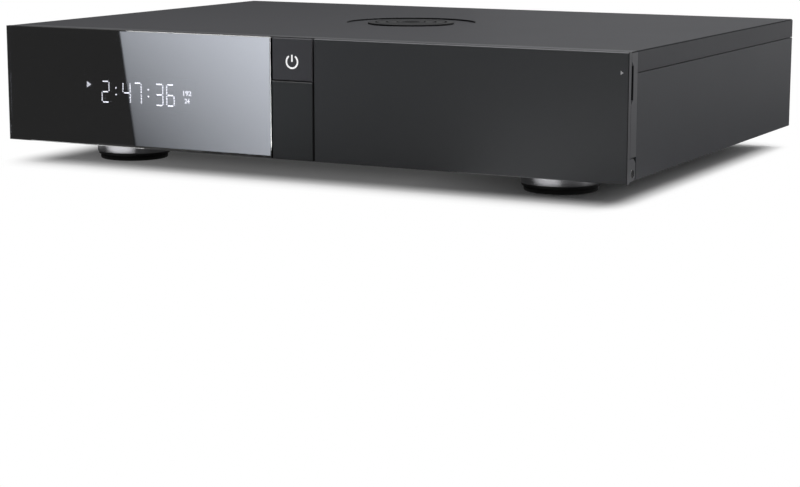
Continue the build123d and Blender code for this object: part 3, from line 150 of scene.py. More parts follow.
# %% [markdown]
# ## Three ways to make a piece
#
# Most of this case is milled plate, so a block whose edges are bevelled gives its true shape. Feet and
# discs are turned on a lathe: a ring of edges is extruded and scaled step by step, as the tool would
# move along the work. Small fittings keep the frame's exact shape, and a copy of their mesh gets a fine
# bevel, because a perfectly sharp edge never catches the light as a real one does.

# %% Blocks and turned pieces
def add_block(name, low, high):
    """A box between two corners, with its place in its mesh."""
    deselect()
    low, high = Vector(low), Vector(high)
    bpy.ops.mesh.primitive_cube_add(size=1, location=(low + high) / 2)
    piece = named(name)
    piece.scale = high - low
    apply_place()
    return piece


def turned(name, x, y, profile, solid=False, sides=96):
    """A piece turned about an upright axis along (radius, z) points; solid closes both ends."""
    deselect()
    radius, z = profile[0]
    fill = "NGON" if solid else "NOTHING"
    bpy.ops.mesh.primitive_circle_add(vertices=sides, radius=radius, fill_type=fill, location=(x, y, z))
    piece = named(name)
    apply_place()
    edit(piece, "FACE" if solid else "EDGE")
    bpy.ops.mesh.select_all(action="SELECT")
    steps = profile[1:] if solid else profile[1:] + profile[:1]
    for next_radius, next_z in steps:
        bpy.ops.mesh.extrude_region_move(TRANSFORM_OT_translate={"value": (0, 0, next_z - z)})
        scale = next_radius / radius
        bpy.ops.transform.resize(value=(scale, scale, 1), center_override=(x, y, next_z))
        radius, z = next_radius, next_z
    leave_edit(piece)
    return piece


def join(name, pieces):
    """Join pieces into one with its own name."""
    activate(pieces[0])
    for piece in pieces[1:]:
        piece.select_set(True)
    bpy.ops.object.join()
    return named(name)


print("piece helpers ready")


# %% Bevelled and rounded edges
def bevel_edges(piece, test, width, segments=1):
    """Bevel the edges that pass a test."""
    edit(piece)
    mesh = bmesh.from_edit_mesh(piece.data)
    for edge in [edge for edge in mesh.edges if test(edge)]:
        edge.select_set(True)
    bmesh.update_edit_mesh(piece.data)
    bpy.ops.mesh.bevel(offset=width, segments=segments, affect="EDGES")
    leave_edit(piece)
    return piece


def smooth(piece, angle=35):
    """Shade a piece smoothly below an angle, and keep its large faces flat."""
    activate(piece)
    bpy.ops.object.shade_smooth_by_angle(angle=math.radians(angle))
    modifier = piece.modifiers.new("flat_faces", "WEIGHTED_NORMAL")
    modifier.keep_sharp = True
    bpy.ops.object.modifier_apply(modifier=modifier.name)
    piece.select_set(False)
    return piece


def soften_edges(piece, width):
    """Round every sharp edge, and keep the flat faces flat."""
    activate(piece)
    modifier = piece.modifiers.new("soft_edges", "BEVEL")
    modifier.width = width
    modifier.segments = 2
    modifier.limit_method = "ANGLE"
    modifier.angle_limit = math.radians(30)
    modifier.use_clamp_overlap = False
    bpy.ops.object.modifier_apply(modifier=modifier.name)
    return smooth(piece)


def softened(node, width):
    """A copy of a node's exact shape, with its sharp edges rounded where a width is given."""
    activate(frame["nodes"][node])
    bpy.ops.object.duplicate()
    bpy.ops.object.parent_clear(type="CLEAR_KEEP_TRANSFORM")
    piece = named("dressed_" + node)
    del piece["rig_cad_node"]
    edit(piece)
    bpy.ops.mesh.select_all(action="SELECT")
    bpy.ops.mesh.remove_doubles(threshold=merge_distance)
    bpy.ops.mesh.dissolve_limited(angle_limit=math.radians(0.5))
    bpy.ops.object.mode_set(mode="OBJECT")
    return soften_edges(piece, width) if width else piece


print("edge helpers ready")


# %% Finishing helpers
def body_of(node):
    """The body that a node belongs to."""
    bodies = frame["record"]["behaviour"]["bodies"]
    return next(body for body, nodes in bodies.items() if node in nodes)


def place(piece, material, *nodes):
    """Give a piece its finish, let it ride with its node's body and stand for its nodes."""
    piece.data.materials.clear()
    piece.data.materials.append(material)
    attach(piece, body_of(nodes[0]))
    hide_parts(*nodes)
    return piece


def paint_faces(piece, material, test):
    """Give the faces that pass a test a second finish, and say how many they are."""
    piece.data.materials.append(material)
    slot = len(piece.data.materials) - 1
    picked = [face for face in piece.data.polygons if test(face)]
    for face in picked:
        face.material_index = slot
    return len(picked)


# %% [markdown]
# ## Shared effects
#
# Several finishes use the same fine effects, so each effect is a node group: a bead-blasted grain for
# the anodised plates and concentric tool marks for turned metal. A group puts out only values. The
# shader itself stays in each material.

# %% Node helpers
def set_inputs(tree, node, inputs):
    """Give each named input of a node a value, or link it to another node's output."""
    for socket, value in inputs.items():
        if isinstance(value, bpy.types.NodeSocket):
            tree.links.new(value, node.inputs[socket])
        else:
            node.inputs[socket].default_value = value


def add_node(tree, kind, inputs=None, **settings):
    """A new node with its settings and its inputs."""
    node = tree.nodes.new("ShaderNode" + kind)
    for name, value in settings.items():
        setattr(node, name, value)
    set_inputs(tree, node, inputs or {})
    return node


def new_group(name, inputs, outputs):
    """An empty shader node group with named sockets, its input node and its output node."""
    group = bpy.data.node_groups.new(name, "ShaderNodeTree")
    for socket, default in inputs.items():
        made = group.interface.new_socket(name=socket, in_out="INPUT", socket_type="NodeSocketFloat")
        made.default_value = default
    for socket in outputs:
        group.interface.new_socket(name=socket, in_out="OUTPUT", socket_type="NodeSocketFloat")
    return group, group.nodes.new("NodeGroupInput"), group.nodes.new("NodeGroupOutput")


def object_place(tree):
    """The place on a piece, as Object coordinates."""
    return add_node(tree, "TexCoord").outputs["Object"]


def object_axes(tree):
    """The X, Y and Z of Object coordinates."""
    return tuple(add_node(tree, "SeparateXYZ", {0: object_place(tree)}).outputs)


def noise_node(tree, scale, detail, stretch=(1, 1, 1)):
    """Noise on Object coordinates; stretch packs it along an axis."""
    mapping = add_node(tree, "Mapping", {"Vector": object_place(tree), "Scale": stretch})
    inputs = {"Vector": mapping.outputs["Vector"], "Scale": scale, "Detail": detail}
    return add_node(tree, "TexNoise", inputs).outputs["Fac"]


print("node helpers ready")


# %% Arithmetic on values
def math_node(tree, operation, a, b=0.0, c=0.0):
    """A Math node fed by other nodes or by numbers."""
    return add_node(tree, "Math", {0: a, 1: b, 2: c}, operation=operation).outputs[0]


def map_range(tree, value, start=0.0, end=1.0, low=0.0, high=1.0, kind="LINEAR"):
    """A value moved from one range, start to end, to another, low to high."""
    inputs = {"Value": value, "From Min": start, "From Max": end, "To Min": low, "To Max": high}
    return add_node(tree, "MapRange", inputs, interpolation_type=kind).outputs["Result"]


def swing(tree, value, spread):
    """How far a value lies from its middle of 0.5, scaled to a spread."""
    return math_node(tree, "MULTIPLY", math_node(tree, "SUBTRACT", value, 0.5), spread)


def diagonal(tree, a, b):
    """The distance that two steps at right angles make together."""
    return math_node(tree, "SQRT", math_node(tree, "MULTIPLY_ADD", a, a, math_node(tree, "MULTIPLY", b, b)))


print("arithmetic helpers ready")


# %% Blasted grain
def make_blasted_grain():
    """Fine grain with a slow drift: a height, a tone and a roughness mask."""
    inputs = {"Grain Scale": 2600.0, "Tone Spread": 0.06, "Drift Spread": 0.05}
    group, source, sink = new_group("blasted_grain", inputs, ("Height", "Tone", "Mask"))
    grain = noise_node(group, source.outputs["Grain Scale"], 2.0)
    drift = noise_node(group, 9.0, 3.0)
    fine = swing(group, grain, source.outputs["Tone Spread"])
    slow = swing(group, drift, source.outputs["Drift Spread"])
    tone = math_node(group, "ADD", math_node(group, "ADD", fine, slow), 1.0)
    set_inputs(group, sink, {"Height": grain, "Tone": tone, "Mask": drift})
    return group


blasted_grain = make_blasted_grain()
print("made", blasted_grain.name)


# %% Turned rings
def make_turned_rings():
    """Concentric tool marks about an upright axis: a height and a tone."""
    inputs = {"Centre X": 0.0, "Centre Y": 0.0, "Pitch": 9000.0, "Tone Spread": 0.2}
    group, source, sink = new_group("turned_rings", inputs, ("Height", "Tone"))
    x, y, z = object_axes(group)
    from_x = math_node(group, "SUBTRACT", x, source.outputs["Centre X"])
    from_y = math_node(group, "SUBTRACT", y, source.outputs["Centre Y"])
    along = math_node(group, "ADD", diagonal(group, from_x, from_y), z)
    line = add_node(group, "CombineXYZ", {"X": along}).outputs[0]
    noise_inputs = {"Vector": line, "Scale": source.outputs["Pitch"], "Detail": 3.0}
    marks = add_node(group, "TexNoise", noise_inputs).outputs["Fac"]
    tone = math_node(group, "ADD", swing(group, marks, source.outputs["Tone Spread"]), 1.0)
    set_inputs(group, sink, {"Height": marks, "Tone": tone})
    return group


turned_rings = make_turned_rings()
print("made", turned_rings.name)

# %% [markdown]
# ## Finishes
#
# Every finish is one Principled shader. The tone from a group is multiplied into the base colour, the
# grain feeds a weak bump and the drift moves the roughness a little. Values that are the same all over
# a surface, such as the coat or the specular level, are set on the shader itself.

# %% Material helpers
def new_material(name, metallic=0.0, roughness=0.5, specular=0.5):
    """A material, its node tree and its one Principled shader."""
    material = bpy.data.materials.new(name)
    material.use_nodes = True
    tree = material.node_tree
    shader = tree.nodes["Principled BSDF"]
    set_inputs(tree, shader, {"Metallic": metallic, "Roughness": roughness, "Specular IOR Level": specular})
    return material, tree, shader


def mixed(tree, factor, first, second, blend="MIX"):
    """Two colours mixed by a factor."""
    inputs = {"Factor": factor, "A": first, "B": second}
    return add_node(tree, "Mix", inputs, data_type="RGBA", blend_type=blend).outputs["Result"]


def tinted(tree, tone, colour):
    """A colour multiplied by a tone value."""
    return mixed(tree, 1.0, (*colour, 1), tone, "MULTIPLY")


def bumped(tree, shader, height, strength, distance):
    """Feed a height into the shader's normal."""
    bump = add_node(tree, "Bump", {"Strength": strength, "Distance": distance, "Height": height})
    set_inputs(tree, shader, {"Normal": bump.outputs["Normal"]})


def grained(name, colour, metallic, roughness, specular=0.4, grain=2600.0, tone=0.06, bump=0.15):
    """A finish with blasted grain."""
    material, tree, shader = new_material(name, metallic, roughness, specular)
    values = {"Grain Scale": grain, "Tone Spread": tone, "Drift Spread": 0.05}
    effect = add_node(tree, "Group", values, node_tree=blasted_grain).outputs
    uneven = map_range(tree, effect["Mask"], low=roughness - 0.04, high=roughness + 0.04)
    set_inputs(tree, shader, {"Base Color": tinted(tree, effect["Tone"], colour), "Roughness": uneven})
    bumped(tree, shader, effect["Height"], bump, 0.05 * MM)
    return material


def ringed(name, colour, roughness, centre=(0.0, 0.0), pitch=9000.0, tone=0.2):
    """Turned metal with concentric tool marks."""
    material, tree, shader = new_material(name, 1.0, roughness)
    values = {"Centre X": centre[0], "Centre Y": centre[1], "Pitch": pitch, "Tone Spread": tone}
    effect = add_node(tree, "Group", values, node_tree=turned_rings).outputs
    set_inputs(tree, shader, {"Base Color": tinted(tree, effect["Tone"], colour)})
    bumped(tree, shader, effect["Height"], 0.25, 0.03 * MM)
    return material


# %% Anodised plates
top_finish = grained("anodised_top", (0.063, 0.064, 0.07), 0.35, 0.55, 0.4)
side_finish = grained("anodised_side", (0.067, 0.069, 0.075), 0.35, 0.5, 0.3)
key_finish = grained("anodised_key", (0.067, 0.067, 0.073), 0.35, 0.5, 0.3)
# The frame's own finish, also used as a painted highlight on the door's top chamfer and right end.
frame_finish_and_painted_highlight = grained("anodised_frame_and_painted_highlight", (0.117, 0.118, 0.125), 0.45, 0.45, 0.35)
# The plate under the key is the same anodised metal as the key, made darker as painted shade.
filler_finish_with_painted_shade = grained("anodised_filler_with_painted_shade", (0.044, 0.046, 0.048), 0.35, 0.5, 0.3)
# A paler colour that stands in for a highlight along a chamfer: painted highlight.
painted_highlight_edge = grained("painted_highlight_edge", (0.15, 0.15, 0.155), 0.3, 0.4, 0.5, grain=3000, bump=0.05)
# A dark colour that stands in for shade in gaps and along edges: painted shade.
painted_shade_edge = grained("painted_shade_edge", (0.02, 0.02, 0.021), 0.0, 0.6, 0.1, grain=3000, bump=0.05)
print("anodised finishes made")


# %% Door finish with its printed arrow
arrow_start, arrow_tip = case_left + 425.1 * MM, case_left + 426.8 * MM
arrow_height, arrow_half_width = 76.2 * MM, 1.15 * MM


def arrow_mask(tree):
    """A mask of a small triangle that points right, on a front face."""
    x, _, z = object_axes(tree)
    started = math_node(tree, "GREATER_THAN", x, arrow_start)
    to_tip = math_node(tree, "SUBTRACT", arrow_tip, x)
    limit = math_node(tree, "MULTIPLY", to_tip, arrow_half_width / (arrow_tip - arrow_start))
    height = math_node(tree, "ABSOLUTE", math_node(tree, "SUBTRACT", z, arrow_height))
    return math_node(tree, "MULTIPLY", started, math_node(tree, "LESS_THAN", height, limit))


def make_door_finish():
    """The anodised finish with a pale arrow near the edge that the finger pulls."""
    material = grained("anodised_door", (0.051, 0.0525, 0.0555), 0.35, 0.5, 0.3)
    tree = material.node_tree
    shader = tree.nodes["Principled BSDF"]
    plain = shader.inputs["Base Color"].links[0].from_socket
    printed = mixed(tree, arrow_mask(tree), plain, (0.55, 0.55, 0.56, 1))
    set_inputs(tree, shader, {"Base Color": printed})
    return material


door_finish = make_door_finish()
print("made", door_finish.name)

# %% [markdown]
# ## Smoked glass and what shines through it
#
# The left of the front is one slab of smoked glass. Real glass does two things at once: it reflects the
# room at its face, and it lets a little light through. The dark tint is a transmission colour, so the
# lit bars stay bright and the black plate behind stays black. A mirror-like coat gives the strong
# reflection that such windows have. Faint smears only touch the roughness.

# %% Glass, display and lit bars
def make_glass():
    """Smoked glass with a reflective coat and faint smears."""
    material, tree, shader = new_material("smoked_glass", 0.0, 0.02)
    glass = {"Transmission Weight": 1.0, "IOR": 1.5}
    coat = {"Coat Weight": 1.0, "Coat IOR": 1.9, "Coat Roughness": 0.01}
    set_inputs(tree, shader, glass | coat)
    smears = noise_node(tree, 14.0, 4.0, (1.0, 1.0, 2.5))
    tone = math_node(tree, "MULTIPLY_ADD", noise_node(tree, 6.0, 2.0), 0.04, 0.98)
    tint = tinted(tree, tone, (0.12, 0.12, 0.13))
    set_inputs(tree, shader, {"Roughness": map_range(tree, smears, low=0.004, high=0.03), "Base Color": tint})
    return material


def make_lit(name, colour, strength):
    """A glowing face with slightly uneven light."""
    material, tree, shader = new_material(name, 0.0, 0.6)
    tone = math_node(tree, "MULTIPLY_ADD", noise_node(tree, 900.0, 2.0), 0.16, 0.92)
    glow = tinted(tree, tone, colour)
    set_inputs(tree, shader, {"Base Color": glow, "Emission Color": glow, "Emission Strength": strength})
    return material


glass_finish = make_glass()
lit_white = make_lit("lit_white", (0.93, 0.94, 0.97), 12.0)
sign_white = make_lit("sign_white", (0.93, 0.94, 0.97), 6.5)
symbol_white = make_lit("symbol_white", (0.9, 0.9, 0.9), 0.5)
display_face = grained("display_face", (0.01, 0.01, 0.011), 0.0, 0.6, 0.3, grain=1800, bump=0.05)
print("glass and lit finishes made")

# %% [markdown]
# ## Plain finishes of the inner pieces and the back
#
# Moulded plastic has a fine spark-eroded texture, the back is powder-coated and has the grain of an
# orange peel, and zinc-plated sheet shows soft spangles. These differ in scale and contrast more than in
# kind, so most of them are the blasted grain with other values.

# %% Plastics, paints and rubber
black_plastic = grained("black_plastic", (0.018, 0.018, 0.019), 0.0, 0.45, grain=1500, bump=0.25)
# Black for the plate behind the window, and painted shade on the frame's front faces in the gaps.
black_plate = grained("black_plate", (0.01, 0.01, 0.011), 0.0, 0.6, 0.3, grain=1200, bump=0.2)
latch_grey = grained("latch_grey", (0.11, 0.112, 0.118), 0.0, 0.5, grain=1500, bump=0.2)
rear_paint = grained("rear_paint", (0.028, 0.028, 0.03), 0.0, 0.42, grain=900, tone=0.1, bump=0.5)
tray_paint = grained("tray_paint", (0.05, 0.051, 0.054), 0.0, 0.5, grain=1100, bump=0.4)
foot_rubber = grained("foot_rubber", (0.012, 0.012, 0.012), 0.0, 0.75, 0.25, grain=1400, tone=0.2, bump=0.4)
# Black, which is the disc's own black middle and also painted shade on the cover's dark edges, the recess
# wall and the disc's grooves.
black_and_painted_shade = grained("black_finish_and_painted_shade", (0.006, 0.006, 0.007), 0.0, 0.6, 0.15, grain=1600, bump=0.05)
socket_black = grained("socket_black", (0.008, 0.008, 0.008), 0.0, 0.5, grain=1600, bump=0.15)
socket_white = grained("socket_white", (0.72, 0.72, 0.7), 0.0, 0.4, grain=1600, bump=0.1)
socket_red = grained("socket_red", (0.42, 0.02, 0.02), 0.0, 0.4, grain=1600, bump=0.1)
tongue_blue = grained("tongue_blue", (0.01, 0.06, 0.3), 0.0, 0.4, grain=1600, bump=0.1)
sleeve_blue = grained("sleeve_blue", (0.012, 0.02, 0.06), 0.0, 0.35, grain=1200, bump=0.1)
tape_yellow = grained("tape_yellow", (0.55, 0.36, 0.05), 0.0, 0.4, grain=1000, tone=0.15, bump=0.3)
ferrite = grained("ferrite", (0.035, 0.034, 0.034), 0.1, 0.55, grain=1800, tone=0.3, bump=0.4)
print("plastics, paints and rubber made")

# %% Metals
disc_low, disc_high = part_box("top_disc")
disc_centre = (disc_low + disc_high) / 2
foot_metal = ringed("foot_metal", (0.38, 0.38, 0.395), 0.24)
disc_metal = ringed("disc_metal", (0.13, 0.132, 0.138), 0.38, disc_centre[:2], pitch=5200.0, tone=0.3)
pin_steel = grained("pin_steel", (0.62, 0.62, 0.63), 1.0, 0.25, grain=3000, tone=0.15, bump=0.1)
spring_steel = grained("spring_steel", (0.5, 0.5, 0.51), 1.0, 0.3, grain=3000, tone=0.15, bump=0.1)
bright_nickel = grained("bright_nickel", (0.6, 0.59, 0.57), 1.0, 0.22, grain=2500, tone=0.1, bump=0.08)
gold_plate = grained("gold_plate", (0.8, 0.56, 0.22), 1.0, 0.22, grain=2500, tone=0.1, bump=0.08)
screw_black = grained("screw_black", (0.03, 0.03, 0.032), 0.8, 0.38, grain=2500, tone=0.2, bump=0.2)
sheet_steel = grained("sheet_steel", (0.42, 0.43, 0.44), 1.0, 0.4, grain=260, tone=0.22, bump=0.05)
drive_case = grained("drive_case", (0.3, 0.3, 0.31), 0.9, 0.45, grain=1600, tone=0.2, bump=0.4)
heatsink_black = grained("heatsink_black", (0.02, 0.02, 0.022), 0.5, 0.45, grain=2200, bump=0.2)
print("metals made")


# %% Circuit boards and flat cable
def make_circuit_board():
    """Green solder mask with faint tracks and small tinned pads."""
    material, tree, shader = new_material("circuit_board", 0.0, 0.35, 0.5)
    spot = object_place(tree)
    mask = {"Color1": (0.006, 0.035, 0.016, 1), "Color2": (0.008, 0.045, 0.02, 1)}
    lines = {"Mortar": (0.02, 0.09, 0.04, 1), "Mortar Size": 0.03, "Scale": 60.0}
    tracks = add_node(tree, "TexBrick", {"Vector": spot} | mask | lines).outputs
    cells = add_node(tree, "TexVoronoi", {"Vector": spot, "Scale": 260.0})
    pads = math_node(tree, "LESS_THAN", cells.outputs["Distance"], 0.16)
    tinned = mixed(tree, pads, tracks["Color"], (0.5, 0.49, 0.45, 1))
    set_inputs(tree, shader, {"Base Color": tinned})
    bumped(tree, shader, tracks["Fac"], 0.2, 0.05 * MM)
    return material


def make_ribbon():
    """Grey flat cable with its conductors side by side."""
    material, tree, shader = new_material("flat_cable", 0.0, 0.45, 0.4)
    x, _, _ = object_axes(tree)
    conductor_pitch = 1.27 * MM
    wave = math_node(tree, "SINE", math_node(tree, "MULTIPLY", x, math.tau / conductor_pitch))
    tone = math_node(tree, "MULTIPLY_ADD", wave, 0.12, 0.88)
    set_inputs(tree, shader, {"Base Color": tinted(tree, tone, (0.34, 0.34, 0.33))})
    bumped(tree, shader, wave, 0.3, 0.1 * MM)
    return material


circuit_board = make_circuit_board()
flat_cable = make_ribbon()
print("boards and cable made")

# %% [markdown]
# ## Front panels
#
# The window, the key, the plate under it and the door are four separate plates side by side. Each is
# milled with its own chamfer on the front edges, and these bright lines tell the eye that they are
# separate. On the plate under the key and on the door, the bright line along the top is a painted
# highlight, a paler colour on the chamfer, and the dark line at their right is painted shade. We could
# bevel one long plate and draw the gaps, but then nothing could move. So each plate is a block, its
# front edges get the milled chamfer, and a tiny second bevel softens what is left.

# %% A front plate
chamfer, soft_edge = 0.5 * MM, 0.07 * MM


def front_plate(name, node, back_gap=0.0):
    """A plate over a node's front, with a milled chamfer on its front edges."""
    low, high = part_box(node)
    high.y -= back_gap
    on_front = lambda edge: all(abs(vertex.co.y - low.y) < merge_distance for vertex in edge.verts)
    return soften_edges(bevel_edges(add_block(name, low, high), on_front, chamfer), soft_edge)


def slopes(face, first, second):
    """True for a face that slopes halfway between two axes."""
    return all(0.6 < abs(face.normal[axis]) < 0.8 for axis in (first, second))


def top_chamfer(top):
    """A test for the chamfer along a plate's top edge."""
    return lambda face: slopes(face, 1, 2) and face.center.z > top - 1 * MM


window = front_plate("window_glass", "display_window", back_gap=0.03 * MM)
place(window, glass_finish, "display_window")
filler = front_plate("plate_under_key", "filler_plate")
place(filler, filler_finish_with_painted_shade, "filler_plate")
# Painted highlight: the top chamfer of the plate under the key gets a paler colour.
paint_faces(filler, painted_highlight_edge, top_chamfer(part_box("filler_plate")[1].z))
# Painted shade: the faces of this plate that face the door get a dark colour.
paint_faces(filler, painted_shade_edge, lambda face: face.normal.x > 0.6)
print("window and plate under the key:", len(window.data.vertices), len(filler.data.vertices))

# %% [markdown]
# The door is the same kind of plate with two round pockets for magnets in its back. The key is a square
# cap on a stem, with a ring and a bar let into it. Pockets like these are cut with a Boolean modifier,
# as a mill would cut them. Here the frame already has them at their exact size, so its own shape is
# kept, and only the fine bevel is added.

# %% Door, key and symbol
door = place(softened("door_panel", soft_edge), door_finish, "door_panel")
door_top = top_chamfer(case_top)
right_end = lambda face: face.normal.x > 0.9 and face.center.x > case_right - 0.1 * MM
# Painted shade: the door's right chamfer gets a dark colour, for the dark line along that edge.
paint_faces(door, painted_shade_edge, lambda face: slopes(face, 1, 0) and face.center.x > case_right - 1 * MM)
# Painted highlight: the door's top chamfer and its right end get the paler frame colour, for the bright lines
# along them.
paint_faces(door, frame_finish_and_painted_highlight, lambda face: door_top(face) or right_end(face))
key = place(softened("power_key", 0.05 * MM), key_finish, "power_key")
place(softened("power_symbol", 0.02 * MM), symbol_white, "power_symbol")
print("door and key:", len(door.data.vertices), len(key.data.vertices))

# %% [markdown]
# ## Lit clock
#
# The clock behind the glass is a grid of lit cells, as a vacuum fluorescent display has. Seen closely,
# an upright stroke is a column of small dots, a level stroke is one bar, and a colon is two round dots.
# The frame has every stroke as a plain block, so we split a copy into its blocks, swap each upright
# block for a column of dots, and round the corners that show from the front.

# %% Tools for lit pieces
def runs_back(edge):
    """True for an edge that runs from front to back."""
    along = edge.verts[1].co - edge.verts[0].co
    return abs(along.y) > 0.9 * along.length


def loose_pieces(piece):
    """Split a piece into its separate solids."""
    edit(piece)
    bpy.ops.mesh.select_all(action="SELECT")
    bpy.ops.mesh.separate(type="LOOSE")
    bpy.ops.object.mode_set(mode="OBJECT")
    return list(bpy.context.selected_objects)


def box_of(piece):
    """The low and the high corner of a piece's mesh."""
    places = [vertex.co for vertex in piece.data.vertices]
    low = Vector([min(spot[axis] for spot in places) for axis in range(3)])
    high = Vector([max(spot[axis] for spot in places) for axis in range(3)])
    return low, high


def dot_column(bar, pitch, share):
    """A column of small dots in the place of an upright bar; share is how much of the pitch is lit."""
    low, high = box_of(bar)
    bpy.data.objects.remove(bar)
    count = round((high.z - low.z) / pitch)
    step = (high.z - low.z) / count
    column = []
    for index in range(count):
        middle = low.z + (index + 0.5) * step
        start = (low.x, low.y, middle - share * step / 2)
        end = (high.x, high.y, middle + share * step / 2)
        column.append(add_block("clock_dot", start, end))
    return column


print("tools for lit pieces ready")

# %% Clock
dot_pitch, dot_share = 1.05 * MM, 0.55
dots, bars, points = [], [], []
for stroke in loose_pieces(softened("display_digits", 0)):
    low, high = box_of(stroke)
    slenderness = (high.z - low.z) / (high.x - low.x)
    if slenderness > 2:
        dots += dot_column(stroke, dot_pitch, dot_share)
    elif slenderness < 0.5:
        bars.append(stroke)
    else:
        points.append(stroke)
print("dots", len(dots), "bars", len(bars), "colon points", len(points))
lit_cells = [
    bevel_edges(join("lit_dots", dots), runs_back, 0.12 * MM, 2),
    bevel_edges(join("lit_bars", bars), runs_back, 0.22 * MM, 3),
    bevel_edges(join("lit_points", points), runs_back, 0.48 * MM, 4),
]
place(join("clock_digits", lit_cells), lit_white, "display_digits")

# %% [markdown]
# Beside the clock there is a small play mark and two small figures, such as a player shows for the
# sampling rate and the bits of the sound. A triangle is a cylinder with three sides, turned to point
# right. The figures are text turned into a mesh and fitted into their fields.

# %% Play mark and small figures
bar_low, bar_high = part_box("display_digits")
mark_radius, mark_place = 2.2 * MM, (63.0 * MM, 52.4 * MM)


def lit_figures(figures, x, z):
    """Small lit figures that fill a field between two x and two z places."""
    deselect()
    bpy.ops.object.text_add(rotation=(quarter_turn, 0, 0))
    piece = named("figures_" + figures)
    piece.data.body = figures
    piece.data.offset = 0.025
    piece.data.extrude = 0.5
    bpy.ops.object.convert(target="MESH")
    apply_place()
    low, high = box_of(piece)
    field_low = Vector((case_left + x[0] * MM, bar_low.y, z[0] * MM))
    field_high = Vector((case_left + x[1] * MM, bar_high.y, z[1] * MM))
    scale = Vector([(field_high[axis] - field_low[axis]) / (high[axis] - low[axis]) for axis in range(3)])
    piece.scale = scale
    piece.location = field_low - low * scale
    apply_place()
    edit(piece)
    leave_edit(piece)
    return piece


deselect()
bpy.ops.mesh.primitive_cylinder_add(
    vertices=3,
    radius=mark_radius,
    depth=bar_high.y - bar_low.y,
    location=(case_left + mark_place[0], (bar_low.y + bar_high.y) / 2, mark_place[1]),
    rotation=(quarter_turn, quarter_turn, 0),
)
play_mark = named("play_mark")
apply_place()
upper_figures = lit_figures("192", (135.0, 141.0), (48.7, 51.8))
lower_figures = lit_figures("24", (135.9, 139.7), (44.0, 47.0))
marks = join("display_marks", [play_mark, upper_figures, lower_figures])
marks.data.materials.clear()
marks.data.materials.append(sign_white)
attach(marks, "case")
print("marks:", [round(v / MM, 2) for v in marks.dimensions])

# %% [markdown]
# ## Feet
#
# The feet are turned aluminium cups with a black lip and a rubber ring. A lathe makes such a piece from
# one profile, so we do the same: a ring of edges is extruded and scaled along the profile until it
# meets itself. Profiles are lists of radius and height in millimetres, and each is turned at all four
# places.

# %% Turned feet
foot_low, foot_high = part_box("foot_caps")
foot_radius, lip_top = 24.0, 4.6
feet = [
    (x, y)
    for x in (foot_low.x + foot_radius * MM, foot_high.x - foot_radius * MM)
    for y in (foot_low.y + foot_radius * MM, foot_high.y - foot_radius * MM)
]
cap_profile = [
    (2.0, 15.0), (23.4, 15.0), (23.8, 14.85), (foot_radius, 14.4), (foot_radius, 5.2), (23.8, 4.8),
    (23.4, lip_top), (23.3, lip_top), (23.3, 3.35), (23.15, 3.2), (22.0, 3.2), (22.0, 4.2), (3.9, 4.2),
    (3.9, 9.2), (2.0, 9.2),
]
pad_profile = [
    (12.0, 4.2), (22.0, 4.2), (22.0, 0.6), (21.8, 0.18), (21.4, 0.0), (12.6, 0.0), (12.18, 0.18), (12.0, 0.6),
]


def in_metres(profile):
    """A profile in millimetres turned into metres."""
    return [(radius * MM, z * MM) for radius, z in profile]


def four_of(name, profile):
    """One turned piece at each foot, joined into one object."""
    made = [turned(f"{name}_{index}", x, y, in_metres(profile)) for index, (x, y) in enumerate(feet)]
    return smooth(join(name, made))


caps = place(four_of("turned_feet", cap_profile), foot_metal, "foot_caps")
lip_faces = paint_faces(caps, socket_black, lambda face: face.center.z < lip_top * MM - merge_distance)
place(four_of("rubber_rings", pad_profile), foot_rubber, "foot_pads")
print("feet at", [(round(x, 4), round(y, 4)) for x, y in feet], "lip faces", lip_faces)

# %% [markdown]
# ## Top disc
#
# A shallow round recess in the cover holds a turned disc with plain rings. The disc starts as a filled
# circle. Its face is extruded and scaled outwards and inwards, and each ring groove is one step down and
# one step up.

# %% Turned disc
top, base = disc_high.z / MM, disc_low.z / MM
rim = (disc_high.x - disc_low.x) / 2 / MM
groove_width, groove_depth, slant = 1.2, 0.35, 0.05
middle_radius = 6.3
disc_profile = [(rim, base), (rim, top - 0.4), (rim - 0.15, top - 0.12), (rim - 0.4, top)]
for outer in (24.0, 17.0, 10.0):
    inner, deep = outer - groove_width, top - groove_depth
    disc_profile += [(outer, top), (outer - slant, deep), (inner + slant, deep), (inner, top)]
disc_profile += [(middle_radius, top), (0.5, top)]
disc = turned("ringed_disc", disc_centre.x, disc_centre.y, in_metres(disc_profile), solid=True, sides=128)
place(smooth(disc, 30), disc_metal, "top_disc")
in_middle = lambda face: (face.center - disc_centre).xy.length < (middle_radius - 0.1) * MM
below_face = lambda face: face.center.z < disc_high.z - 0.1 * MM
# Painted shade: the disc's side wall and the walls and floors of its ring grooves are painted black; the
# black middle is the disc's own colour.
blackened = paint_faces(disc, black_and_painted_shade, lambda face: below_face(face) or in_middle(face))
print("disc:", [round(v / MM, 2) for v in disc.dimensions], "blackened faces:", blackened)

# %% [markdown]
# ## Case, frame and inner pieces
#
# The cover, the chassis, the frame behind the front plates and everything inside keep their exact
# shape. One table gives a finish, how wide edges are rounded in millimetres, and the nodes it dresses.

